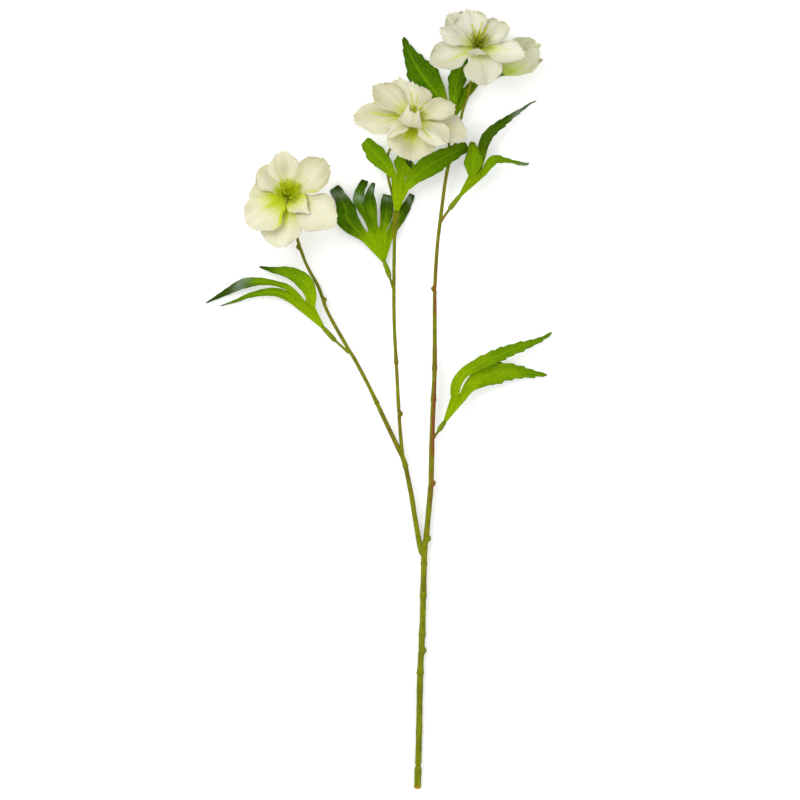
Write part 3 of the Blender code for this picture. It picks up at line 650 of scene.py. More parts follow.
LEAF_FINISH = leaf_finish("leaf_green", (0.33, 0.50, 0.0005), (0.128, 0.28, 0.0005),
                          (0.04, 0.12, 0.0005), (0.30, 0.48, 0.002))
DARK_FINISH = leaf_finish("leaf_dark_green", (0.30, 0.50, 0.001), (0.045, 0.145, 0.0005),
                          (0.012, 0.050, 0.0005), (0.24, 0.42, 0.002), 0.34)
UNDER_FINISH = leaf_finish("leaf_underside", (0.27, 0.40, 0.02), (0.16, 0.27, 0.03),
                           (0.10, 0.18, 0.03), (0.26, 0.38, 0.05), 0.5)

LEAF_THICKNESS = 0.45
LEAF_STEP = 1.3  # millimetres between two rows of a lobe
COLUMNS = 12  # across each lobe
PALM_ROWS = 14
PLEAT = 1.1  # how high the pleats of the palm rise
PATTERN_LENGTH = 20  # millimetres of a leaf along one length of its pattern
TOOTH_LENGTH = 9
TOOTH_POWER = 6  # how close to the edge the teeth stay
SHEEN_BAND_SPREAD = 0.075
NO_SHEEN_BAND = 9
PLAIN = (2, 0, NO_SHEEN_BAND)  # a lobe with no painted tip shade and no band of gloss and painted sheen


def leaf(name, lobes, ages, teeth, finish=LEAF_FINISH, base=None):
    """One divided leaf. A lobe is (fold, [(x, y, z, half width), ...], (start of the painted tip
    shade, its strength, middle of the band of gloss and painted sheen)). ages holds how old the
    colour is at the base of the leaf and at its tips, and teeth how deep its teeth are in
    millimetres."""
    chance = random.Random(name)
    base = base or leaf_base(LEAF_STALKS[name])
    starts = [Vector(line[0][:3]) for _, line, _ in lobes]
    corners = [(a + b) / 2 for a, b in zip(starts, starts[1:])]
    corners = [2 * starts[0] - corners[0]] + corners + [2 * starts[-1] - corners[-1]]
    far_edge = []
    for start, near, far in zip(starts, corners, corners[1:]):
        for column in range(COLUMNS):
            t = 2 * column / COLUMNS
            far_edge.append(near.lerp(start, t) if t < 1 else start.lerp(far, t - 1))
    far_edge.append(corners[-1])
    total = len(far_edge) - 1
    palm_length = (sum(far_edge, Vector()) / (total + 1) - (base[0] + base[1]) / 2).length
    longest = palm_length + max(
        length_of([Vector(p[:3]) for p in line]) for _, line, _ in lobes)
    points, maps = [], []
    marks = {"age": [], "rib": [], "dusk": [], "aside": [], "shine": []}

    def lay(point, across, distance, **values):
        points.append(point)
        maps.append((across, distance / PATTERN_LENGTH))
        values["age"] = ages[0] + (ages[1] - ages[0]) * distance / longest
        for label, numbers in marks.items():
            numbers.append(values.get(label, 0.0))

    for row in range(PALM_ROWS + 1):
        share = row / PALM_ROWS
        for column, far in enumerate(far_edge):
            near = base[0].lerp(base[1], column / total)
            t = 2 * (column % COLUMNS) / COLUMNS - 1
            lay(near.lerp(far, share) + UP * ((abs(t) - 0.5) * PLEAT * share),
                column / COLUMNS, palm_length * share,
                rib=max(0, 1 - abs(t) / 0.18) * share, aside=0.5 * abs(t) * share)
    faces = []
    for row in range(PALM_ROWS):
        near = range(row * (total + 1), (row + 1) * (total + 1))
        far = range(near.stop, near.stop + total + 1)
        faces.extend(zip(near, near[1:], far[1:], far))
    for index, (fold, knots, (dusk_start, dusk, shine)) in enumerate(lobes):
        line = smooth_curve([p[:3] for p in knots])
        widths = smooth_curve([(i, p[3], 0) for i, p in enumerate(knots)])
        directions = tangents(line)
        length = length_of(line)
        rows = max(10, round(length / LEAF_STEP))
        across = corners[index + 1] - corners[index]
        root_half = across.length / 2
        first = PALM_ROWS * (total + 1) + index * COLUMNS
        previous = range(first, first + COLUMNS + 1)
        edges = [tooth_edge(chance, max(3, round(length / TOOTH_LENGTH))) for _ in range(2)]
        phase = chance.uniform(0, FULL_TURN)
        upright = 1
        for row in range(1, rows + 1):
            share = row / rows
            at = round(share * LINE_STEPS)
            direction = directions[at]
            across = (across - across.dot(direction) * direction).normalized()
            over = direction.cross(across)
            if row == 1:
                upright = 1 if over.z > 0 else -1
            over = over * upright
            half = max(0.12, widths[at].y)
            half += (root_half - half) * max(0, 1 - share / 0.25) * 0.5
            joined = max(0, 1 - share / 0.2)
            toothed = min(1, max(0, (share - 0.25) / 0.2)) * min(1, half / 3)
            ring = range(len(points), len(points) + COLUMNS + 1)
            for column in range(COLUMNS + 1):
                t = 2 * column / COLUMNS - 1
                cut = teeth * (edges[t >= 0](min(0.999, share)) - 0.35) * toothed / half
                reach = t * (1 + cut * abs(t) ** TOOTH_POWER)
                wave = 0.09 * math.sin(share * 11 + phase + 1.4 * t) * abs(t) ** 2
                raised = fold * abs(t) * half + wave * half * (1 - joined)
                raised += (abs(t) - 0.5) * PLEAT * joined
                forward = direction * (cut * half * 0.8 * abs(t) ** TOOTH_POWER)
                # The tip darkening laid here is painted shade, and the band round the bend carries
                # a painted sheen besides the glossy coat.
                lay(line[at] + across * (reach * half) + over * raised + forward,
                    index + column / COLUMNS, palm_length + share * length,
                    rib=max(0, 1 - abs(t) / 0.16) * (1 - 0.6 * share),
                    dusk=dusk * min(1, max(0, (share - dusk_start) / 0.12)),
                    aside=abs(t) * (0.5 + 0.5 * min(1, share * 3)),
                    shine=hump(share + 0.04 * t - shine, SHEEN_BAND_SPREAD))
            faces.extend(zip(previous, previous[1:], ring[1:], ring))
            previous = ring
    facing = sum(((points[b] - points[a]).cross(points[c] - points[a])
                  for a, b, c, _ in faces), Vector())
    if facing.z < 0:
        faces = [tuple(reversed(face)) for face in faces]
    sheet_piece(name + "_blade", points, faces, maps, marks, (finish, UNDER_FINISH),
                LEAF_THICKNESS, name)


leaf("left_leaf", [
    (-0.15, [
        (-98, 406, 12, 2.5), (-109, 415.5, 12.2, 3.7), (-120, 420.5, 10.6, 3.8),
        (-131.5, 420.5, 8.6, 3.2), (-145, 417.5, 5.5, 2.1), (-154.5, 413.5, 3.2, 1.3),
        (-169, 409, 1.5, 0.3)], (0.9, 0.3, NO_SHEEN_BAND)),
    (-0.25, [
        (-97.5, 412, 13, 2.5), (-109, 423, 15, 3.2), (-118, 427, 14.5, 2.8),
        (-127, 429, 13, 2.4), (-137.5, 429.5, 11, 3), (-149.5, 427.5, 8, 4.5),
        (-162.5, 421, 4.5, 3.7), (-181, 411.5, 1.5, 0.4)], (0.5, 1, 0.64)),
    (0.15, [
        (-90.8, 409, 14, 4.3), (-91, 418, 16, 5.4), (-94.5, 427, 17, 7.4),
        (-101.5, 433.5, 15.5, 6), (-111.5, 438, 12, 3.8), (-123, 439.6, 7, 2.1),
        (-135, 442.5, 2, 0.7)], (0.75, 0.8, NO_SHEEN_BAND)),
], (0, 0.85), 0.5)

leaf("right_leaf", [
    (0.12, [
        (31, 331.5, 13, 4.2), (32.5, 342.5, 15, 5.1), (39, 352, 16, 4.6),
        (51.5, 359.5, 16, 4.8), (62.5, 364.5, 15, 5.5), (75.5, 370, 12, 5.8),
        (88, 374.5, 9, 5.8), (98, 378, 6, 5.4), (107, 382, 3, 4.2),
        (114, 386.5, 1.5, 0.9)], PLAIN),
    (0.12, [
        (36.5, 329, 12, 3.4), (43, 339.5, 11.5, 4.8), (51.5, 346.5, 10.8, 6.8),
        (61.5, 350.8, 9.5, 8.3), (75.5, 353, 7, 9.2), (88, 352.5, 4.5, 9.4),
        (97.5, 351.6, 3, 7.2), (103.5, 351.2, 2, 4.6), (110, 350.3, 1.2, 0.8)], PLAIN),
], (0.05, 0.55), 2)

leaf("upper_leaf", [
    (0.1, [
        (45.6, 520, 17, 4.6), (46.6, 529, 20, 6.4), (47, 536, 22, 8.8),
        (46.6, 542.5, 21, 5.8), (46.2, 548, 18, 1.8)], (0.85, 0.4, NO_SHEEN_BAND)),
    (0.35, [
        (51, 521, 16, 2.1), (54, 536, 14, 3), (55.5, 545.5, 13, 4.2),
        (60, 554.5, 12, 4.7), (67, 561, 11, 4.4), (74.5, 566.5, 9, 3.8),
        (82, 572, 7, 2.9), (89.5, 577, 5, 1.6), (95.5, 581.5, 3, 0.8),
        (101, 584, 1.2, 0.3)], (0.15, 0.85, 0.78)),
    (0.1, [
        (55, 520, 16, 2.5), (60, 528.5, 18, 3.9), (65, 533, 18, 4.1),
        (71, 533, 15, 2.9), (79, 532, 10, 1.7), (86.5, 530.5, 5, 1.6),
        (92, 530, 2, 1.8), (94.5, 531, 1.2, 0.8)], (0.8, 0.5, 0.9)),
], (0.1, 0.85), 1.2)

leaf("lower_leaf", [
    (0.06, [
        (-44.6, 467.4, 6, 4.2), (-52, 473.7, 6.5, 7.4), (-57.5, 479.5, 6.5, 9.3),
        (-60.5, 484.3, 6.2, 9.8), (-61.2, 490.5, 5.6, 6.4), (-64.4, 498.4, 4.4, 5.5),
        (-69, 506, 2.4, 5.6), (-71.5, 510, 1.4, 4.6)], (0.72, 0.8, 0.86)),
    (0.06, [
        (-40, 475, 7.6, 2.2), (-42.3, 481, 9.5, 2.8), (-44.8, 487, 10.4, 3.4),
        (-48.3, 494.5, 10.6, 4.5), (-50.4, 500.5, 10.2, 5.4), (-49.6, 506.5, 8.4, 4.2),
        (-47, 512, 6.2, 3.8), (-45, 516, 4.6, 3.2)], (0.82, 0.8, 0.62)),
    (0.06, [
        (-36.6, 476, 8.6, 2.4), (-38.2, 484, 12, 3.2), (-40, 493, 14.6, 4.5),
        (-41, 501, 15, 5.2), (-39.8, 508, 13.2, 4), (-37.6, 513.6, 11, 1.6)],
     (0.5, 0.7, 0.86)),
    (0.06, [
        (-29.8, 475, 6.5, 3.4), (-27.9, 481, 5.6, 5), (-26.9, 488, 4.8, 5.6),
        (-26.5, 495, 4, 5.8), (-26.3, 500, 3.2, 5.6), (-25.8, 503.8, 2.2, 4.4)],
     (0.5, 0.6, 0.88)),
    (0.06, [
        (-24.2, 469.8, 5, 3.2), (-20.2, 476.5, 3.8, 4.3), (-15.7, 484.3, 3, 4.8),
        (-10.5, 493, 2.6, 4.8), (-6.5, 500, 2, 4.2), (-4.8, 504.3, 1.2, 2.4)],
     (0.5, 0.6, 0.86)),
], (-0.25, 0.95), 0.5, DARK_FINISH)

WHORL_BASE = (Vector((-20.4, 489.5, 14.3)), Vector((-16.4, 489.5, 14.3)))
leaf("whorl_leaf", [
    (0.1, [
        (-20.4, 518.5, 16.5, 3.4), (-26.5, 527.5, 17.5, 6.4), (-34, 536, 17, 8),
        (-40.5, 543.5, 15, 8), (-45.5, 549, 12.5, 4.6)], PLAIN),
    (0.1, [
        (-15, 517, 17, 3.4), (-12.8, 524.5, 18.2, 5.2), (-11.5, 530.5, 20, 7.6),
        (-10.5, 534.5, 23, 9), (-8.5, 532.5, 26, 8), (-5.5, 525, 27, 0.7)],
     (0.66, 1, 9)),
    (0.1, [
        (-10.3, 510.5, 16.5, 4.6), (-1.5, 519.5, 17, 8), (9, 527.5, 17, 9.3),
        (20.5, 534, 16.5, 9), (30, 539, 16.5, 7.8), (37, 542.3, 15.5, 6.2),
        (42, 545, 14.5, 4)], PLAIN),
], (0, 0.8), 1.3, base=WHORL_BASE)

leaf("back_leaf", [
    (0.1, [
        (23.5, 574, 7.2, 3.4), (18.5, 585.5, 6.6, 7.6), (8.5, 599, 7, 11.2),
        (0, 611, 7, 13.6), (-6, 622, 6, 11.9), (-10, 631.5, 3.2, 6.4),
        (-12, 638.5, 1.4, 0.8)], (0.85, 0.3, NO_SHEEN_BAND)),
    (0.08, [
        (29.5, 577.5, 7.5, 3.1), (31.5, 590.5, 7.5, 4.8), (33.5, 602.5, 7, 7),
        (36.5, 614.5, 5.5, 7.6), (39, 623, 4, 3.8)], PLAIN),
    (0.1, [
        (35, 577.5, 6.8, 2.7), (38.5, 587, 6, 3.4), (43.5, 594.5, 5, 4.2),
        (49, 599, 4, 3.9), (56, 601, 2, 0.7)], PLAIN),
], (0.15, 0.8), 1.8, DARK_FINISH)

# ---------------------------------------------------------------- flower bases
# Each flower stands on a small green cup, the swollen end of its stalk. The petals are set round
# it and the stamens on top of it.

BASE_LINE = [(-7.0, 1.5), (-6.2, 2.2), (-3.6, 3.4), (-1.0, 3.9), (1.8, 3.8), (3.2, 3.0)]
BASE_FINISH = stem_finish("flower_base_green", (0.30, 0.40, 0.03), (0.13, 0.21, 0.012),
                          (0.03, 0.055, 0.004))
BASE_BOTTOM, BASE_HEIGHT, BASE_STEPS = -7.2, 10.4, 18
for flower_name, (centre, axis) in (("left", LEFT_FLOWER), ("middle", MIDDLE_FLOWER),
                                    ("top", TOP_FLOWER), ("bud", BUD)):
    base_line = []
    for step in range(BASE_STEPS + 1):
        height = BASE_BOTTOM + step * BASE_HEIGHT / BASE_STEPS
        base_line.append((centre + axis * height, eased(BASE_LINE, height), 0.0))
    grow(flower_name + "_flower_base", [base_line], BASE_FINISH, flower_name + "_receptacle",
         (30, 9, 0.05, 0.1, 1.0))

# ---------------------------------------------------------------- petals
# The petals are thin cream cloth, pressed to a cup with fine creases that fan out from the base.
# A yellow-green dye glows at the base and runs out along the folds, and the free edges are wavy
# and finely torn. Each petal is glued to the flower base by its narrow end.


def flower_directions(flower):
    """The two directions across a flower."""
    axis = flower[1]
    towards = Vector((1, 0, 0)) if abs(axis.x) < 0.7 else UP
    right = (towards - towards.dot(axis) * axis).normalized()
    return right, axis.cross(right)


def outward(flower, turn):
    """The direction away from a flower's axis at a turn in degrees."""
    right, up = flower_directions(flower)
    turned = math.radians(turn)
    return math.cos(turned) * right + math.sin(turned) * up


HALO_YELLOW = (0.74, 0.76, 0.28)
DEEP_LIME = (0.50, 0.62, 0.002)


def petal_finish(name, cream, shade, green):
    """Dyed petal cloth: cream, greyer where the piece says it is shaded, green where dyed, with a
    pale yellow halo round the dye."""
    made, tree, shader = new_finish(name, 0.75, 0.25)
    drawn, _ = drawn_pattern(tree, 0.12)
    fine = streaks(tree, drawn, 22, 2.4)
    broad = streaks(tree, drawn, 6, 2.6)
    dyed = node(tree, "ShaderNodeClamp",
                {"Value": attribute(tree, "dye") * (broad * 0.7 + 0.65)})
    grey = blotches(tree, 0.012, 2.2) * 0.22 + fine * 0.30 + attribute(tree, "shade") * 0.8
    colour = layered(
        cream, (grey, shade), (attribute(tree, "halo") * (broad * 0.5 + 0.5), HALO_YELLOW),
        (dyed, green), (ramp(dyed, 0.75, 1.0) * 0.5, DEEP_LIME))
    fill(shader, {
        "Base Color": colour, "Sheen Weight": 0.15, "Subsurface Weight": 0.35,
        "Subsurface Radius": (1.0, 0.95, 0.6), "Subsurface Scale": 0.0012})
    bump(shader, fine, 0.0004, 0.5)
    return made


PETAL_FINISH = petal_finish("petal_cream", (0.80, 0.775, 0.575), (0.58, 0.545, 0.345),
                            (0.62, 0.69, 0.015))
PALE_FINISH = petal_finish("petal_pale_grey", (0.78, 0.77, 0.62), (0.57, 0.56, 0.405),
                           (0.60, 0.67, 0.02))
BUD_FINISH = petal_finish("bud_green_cream", (0.73, 0.73, 0.55), (0.56, 0.58, 0.35),
                          (0.50, 0.67, 0.12))

PETAL_THICKNESS = 0.35
PETAL_ROWS = 40
PETAL_COLUMNS = 44
PETAL_PATTERN = 30  # millimetres of a petal along one length of its pattern
BASE_RADIUS = 4.6
PETAL_TUCK = 1.5  # how deep a petal's end sits in the flower base
MIDDLE_GROOVE = 0.7
CREASE = 0.42
CREASES, HOLLOWS = 9, 6
TIP_POINTS, SIDE_POINTS = 7, 6
BEND_STEPS = 60
WAVES = ((2.0, 1.0), (3.6, 0.6), (7.5, 0.3))  # how many across a petal, and how high
PETAL_OUTLINE = [(0, 0.2), (0.3, 0.55), (0.68, 1.0), (0.88, 0.97), (1, 0.72)]
BUD_OUTLINE = [(0, 0.3), (0.25, 0.85), (0.55, 1.0), (0.85, 0.85), (1, 0.55)]


def torn_edge(chance, count, depth):
    """An uneven, pointed edge, as a function from 0 to 1."""
    heights = []
    for index in range(2 * count + 2):
        heights.append(chance.uniform(0.2, 1.0) if index % 2 else chance.uniform(-0.5, 0.1))

    def height(place):
        return depth * between(heights, min(0.9999, max(0, place)) * 2 * count)

    return height


def eased_step(value, low, high):
    """0 below low and 1 above high, eased between."""
    t = min(1, max(0, (value - low) / (high - low)))
    return t * t * (3 - 2 * t)


def petal(flower, name, replaced, sizes, skew=0.0, outline=PETAL_OUTLINE, finish=PETAL_FINISH,
          glow=(1.0, 0.42), folds=(), ruffle=1.3, torn=0.035, peaks=(), shades=(0.0, 0.0)):
    """A petal as a bent and cupped sheet. It leaves the centre at the angle rise above the
    flower's own plane and ends at the angle fall. glow is the dye's strength and reach, folds
    are (place across, end, strength) streaks of dye, peaks are (place across, height, spread)
    points of the free edge, and shades are how grey the sides and the free end are."""
    turn, rise, fall, length, width, cup, lift = sizes
    chance = random.Random(replaced)
    centre, axis = flower
    out = outward(flower, turn)
    side = axis.cross(out)
    leans = [math.radians(rise + (fall - rise) * (step / BEND_STEPS) ** 1.4)
             for step in range(BEND_STEPS + 1)]
    line = [centre + out * BASE_RADIUS + axis * lift]
    for lean in leans[:-1]:
        ahead = math.cos(lean) * out + math.sin(lean) * axis
        line.append(line[-1] + ahead * length / BEND_STEPS)
    tip = torn_edge(chance, TIP_POINTS, torn)
    margins = [torn_edge(chance, SIDE_POINTS, torn * 0.8) for _ in range(2)]
    waves = [(count, chance.uniform(0, FULL_TURN), size) for count, size in WAVES]
    creases = [(chance.uniform(-0.9, 0.9), chance.uniform(0.04, 0.1), chance.uniform(-1, 1))
               for _ in range(CREASES)]
    hollows = [(chance.uniform(-0.8, 0.8), chance.uniform(0.35, 0.95),
                chance.uniform(0.25, 0.45), chance.choice((-1, 1)) * chance.uniform(0.6, 1.0))
               for _ in range(HOLLOWS)]
    pattern_start = random.Random(replaced + " pattern").randrange(40)
    points, maps = [], []
    marks = {"dye": [], "shade": [], "halo": []}
    for row in range(PETAL_ROWS + 1):
        share = row / PETAL_ROWS
        cupped = math.radians(cup) * (1 - 0.55 * share)
        dented = eased_step(share, 0.15, 0.5)
        base_dye = glow[0] * (1 - eased_step(share, 0.02, glow[1]))
        middle_dye = 0.35 * glow[0] * (1 - eased_step(share, 0.3, 0.75))
        halo = 1 - eased_step(share, glow[1] * 0.5, glow[1] * 1.15 + 0.12)
        for column in range(PETAL_COLUMNS + 1):
            t = 2 * column / PETAL_COLUMNS - 1
            half = width / 2 * eased(outline, share)
            half *= 1 + margins[t > 0](share) * abs(t) ** 4 * share
            off = abs(t - skew) / (1 + abs(skew))
            edge = 1 + tip((t + 1) / 2) * share**5
            for place, height, spread in peaks:
                edge += height * hump(t - place, spread) * share**4
            place = BEND_STEPS * min(1.16, share * (1 - 0.2 * off**2.4) * edge)
            spot = between(line, place) - out * (PETAL_TUCK * (row == 0))
            lean = between(leans, min(place, BEND_STEPS))
            inward = math.cos(lean) * axis - math.sin(lean) * out
            bend = cupped * t
            flat = half * math.sin(bend) / cupped
            raised = half * (1 - math.cos(bend)) / cupped
            face = inward * math.cos(bend) - side * math.sin(bend)
            free = eased_step(max(share, abs(t) * share * 1.25), 0.35, 1.05)
            height = sum(size * math.sin(count * t * 1.6 + phase)
                         for count, phase, size in waves) * ruffle * free
            height -= MIDDLE_GROOVE * hump(t, 0.1) * eased_step(share, 0.05, 0.3) * (1 - share)
            for crease, spread, depth in creases:
                height += CREASE * depth * hump(t - crease, spread) * eased_step(share, 0.1, 0.4)
            dent = sum(depth * hump(t - across, wide) * hump(share - along, wide)
                       for across, along, wide, depth in hollows) * dented
            height += 0.5 * ruffle * dent
            points.append(spot + side * flat + inward * raised + face * height)
            maps.append(((t + 1) / 2 + pattern_start, share * length / PETAL_PATTERN))
            marks["dye"].append(base_dye + middle_dye * hump(t, 0.07) + sum(
                strength * hump(t - fold, 0.1) * (1 - eased_step(share, end * 0.5, end))
                for fold, end, strength in folds))
            marks["shade"].append(shades[0] * eased_step(abs(t), 0.5, 1.0)
                                  + shades[1] * eased_step(share, 0.6, 1.0) - 0.4 * dent)
            marks["halo"].append(min(1, 0.6 * glow[0]) * halo)
    faces = []
    for row in range(PETAL_ROWS):
        near = range(row * (PETAL_COLUMNS + 1), (row + 1) * (PETAL_COLUMNS + 1))
        far = range(near.stop, near.stop + PETAL_COLUMNS + 1)
        faces.extend(zip(near, far, far[1:], near[1:]))
    sheet_piece(name, points, faces, maps, marks, (finish,), PETAL_THICKNESS, replaced)


# A petal is (turn, rise, fall, length, width, cup, lift) and what is special about it. The
# turn, rise, fall and cup are in degrees and the rest in millimetres.
LEFT_PETALS = {
    "upper_left": ((133, 14, -2, 32, 25, 22, -0.9), dict(
        torn=0.06, shades=(0.5, 0.5), glow=(0.9, 0.4), ruffle=0.9)),
    "top": ((96, 23, 8, 34, 27, 25, 0.6), dict(
        torn=0.06, glow=(0.9, 0.4), folds=((0.5, 0.7, 0.5),), ruffle=1.0)),
    "upper_right": ((27, 29, 20, 43, 34, 46, 0), dict(
        shades=(0.9, 0.9), glow=(0.9, 0.35), folds=((-0.93, 0.9, 0.7),))),
    "lower_right": ((322, 18, 0, 50, 37, 24, -0.4), dict(
        shades=(0.3, 0.2), glow=(1.0, 0.4), folds=((0.3, 0.6, 0.5),))),
    "inner": ((312, 27, 8, 24, 20, 25, 2.2), dict(
        glow=(1.1, 0.8), folds=((0.88, 1.0, 0.9),), ruffle=0.8, peaks=((0.25, 0.12, 0.35),),
        outline=[(0, 0.32), (0.3, 0.85), (0.55, 1.0), (0.8, 0.82), (1, 0.4)])),
    "bottom": ((260, 12, -8, 43, 36, 20, -1.2), dict(
        torn=0.055, folds=((0.25, 0.75, 1.0),), glow=(1.2, 0.6))),
    "lower_left": ((225, 28, 6, 41, 37, 25, 0.8), dict(
        folds=((-0.25, 0.7, 1.1), (0.93, 0.95, 1.1)), glow=(1.3, 0.6))),
    "left": ((168, 8, -6, 30, 30, 24, -2.1), dict(folds=((0.3, 0.7, 0.8),), glow=(1.4, 0.75))),
}
MIDDLE_PETALS = {
    "top": ((98, 16, 12, 34, 38, 25, -1), dict(
        skew=0.6, torn=0.08, glow=(0.8, 0.4), peaks=((0.5, 0.14, 0.12),), shades=(0.3, 0.2))),
    "upper_left": ((148, 24, 12, 39, 31, 30, 0.6), dict(shades=(0.5, 0.5), torn=0.05)),
    "left": ((190, 8, -6, 46, 38, 22, -0.6), dict(
        torn=0.06, folds=((-0.35, 0.85, 1.1), (0.3, 0.7, 0.6)), glow=(1.0, 0.4))),
    "lower_left": ((233, 12, 0, 31, 18, 32, 1.2), dict(
        folds=((-0.8, 0.9, 0.7),), glow=(0.8, 0.4), ruffle=1.6)),
    "bottom": ((268, 2, -40, 34.5, 42, 15, -2.0), dict(
        glow=(1.4, 0.6), torn=0.04, folds=((-0.3, 0.65, 0.9), (0.15, 0.6, 0.8)))),
    "inner": ((256, 4, 140, 34, 21, 22, 3.7), dict(
        glow=(0.7, 0.5), peaks=((-0.6, 0.24, 0.22), (0.75, 0.2, 0.22)), ruffle=0.7)),
    "lower_right": ((311, 15, -10, 36, 29, 30, 0.6), dict(
        folds=((-0.45, 0.85, 1.2),), glow=(1.0, 0.45))),
    "right": ((347, 6, -12, 42, 35, 18, -2.1), dict(
        torn=0.07, glow=(0.9, 0.45), shades=(0.3, 0.3), folds=((0.2, 0.9, 0.5),))),
    "upper_right": ((14, 24, 12, 32, 27, 34, 1.3), dict(
        glow=(0.8, 0.4), shades=(0.5, 0.5), torn=0.05)),
}
TOP_PETALS = {
    "top": ((106, 18, 8, 30, 29, 26, 0.2), dict(torn=0.09, shades=(0.45, 0.4))),
    "behind": ((62, 8, 2, 28, 16, 20, -1), dict(shades=(0.6, 0.6))),
    "upper_left": ((127, 14, 2, 35, 28, 20, -1.4), dict(torn=0.1, shades=(0.4, 0.5))),
    "left": ((166, 26, 10, 31, 21, 25, 0.6), dict(shades=(0.2, 0.4))),
    "lower_left": ((209, 14, -6, 41, 31, 20, -0.8), dict(folds=((0.3, 0.85, 0.8),))),
    "bottom": ((280, 8, -45, 33, 33, 15, -0.8), dict(glow=(0.7, 0.35), shades=(0.1, 0.2))),
    "inner": ((265, 6, 120, 21, 18, 24, 2), dict(ruffle=0.6, glow=(1.0, 0.6))),
    "right": ((329, 24, 12, 41.5, 26, 20, 0.2), dict(glow=(0.9, 0.45), folds=((0.3, 0.8, 0.5),))),
    "upper_right": ((25, 32, 24, 27, 23, 38, 0.6), dict(shades=(0.7, 0.6))),
}
BUD_PETALS = {
    "front": ((39, 63, 124, 40, 34, 60, -3.0), dict(glow=(1.0, 0.65))),
    "upper": ((200, 47, 98, 34.6, 32, 50, 0.2), dict(shades=(-0.4, -0.6), glow=(1.0, 0.7))),
    "under": ((150, 36, 90, 34, 14, 60, -2.5), dict(glow=(1.0, 1.0))),
    "behind": ((170, 84, 95, 35, 12, 50, 1.8), {}),
    "inner": ((295, 80, 91, 25, 11, 50, 1.2), dict(glow=(1.1, 1.2))),
}
FLOWERS = {
    "left_flower": (LEFT_FLOWER, LEFT_PETALS, {}),
    "middle_flower": (MIDDLE_FLOWER, MIDDLE_PETALS, {}),
    "top_flower": (TOP_FLOWER, TOP_PETALS,
                   dict(finish=PALE_FINISH, glow=(0.8, 0.36), shades=(0.5, 0.45))),
    "bud": (BUD, BUD_PETALS,
            dict(outline=BUD_OUTLINE, finish=BUD_FINISH, glow=(0.7, 0.6), ruffle=0.6)),
}
for flower_name, (flower, petals, shared) in FLOWERS.items():
    for name, (sizes, own) in petals.items():
        petal(flower, f"{flower_name}_{name}_petal",
              f"{flower_name.removesuffix('_flower')}_petal_{name}", sizes, **{**shared, **own})

# ---------------------------------------------------------------- stamens
# A brush of fine yellow-green filaments stands on each open flower's base, each with a small pale
# anther. They fan out from the middle and are glued there in one tuft.

BOW = 0.16  # how far a filament bows, as a share of its length
GOLDEN_ANGLE = 2.39996
ANTHER_HEIGHT = 1.3  # past the filament's own 0 to 1, so that the finish knows the anthers


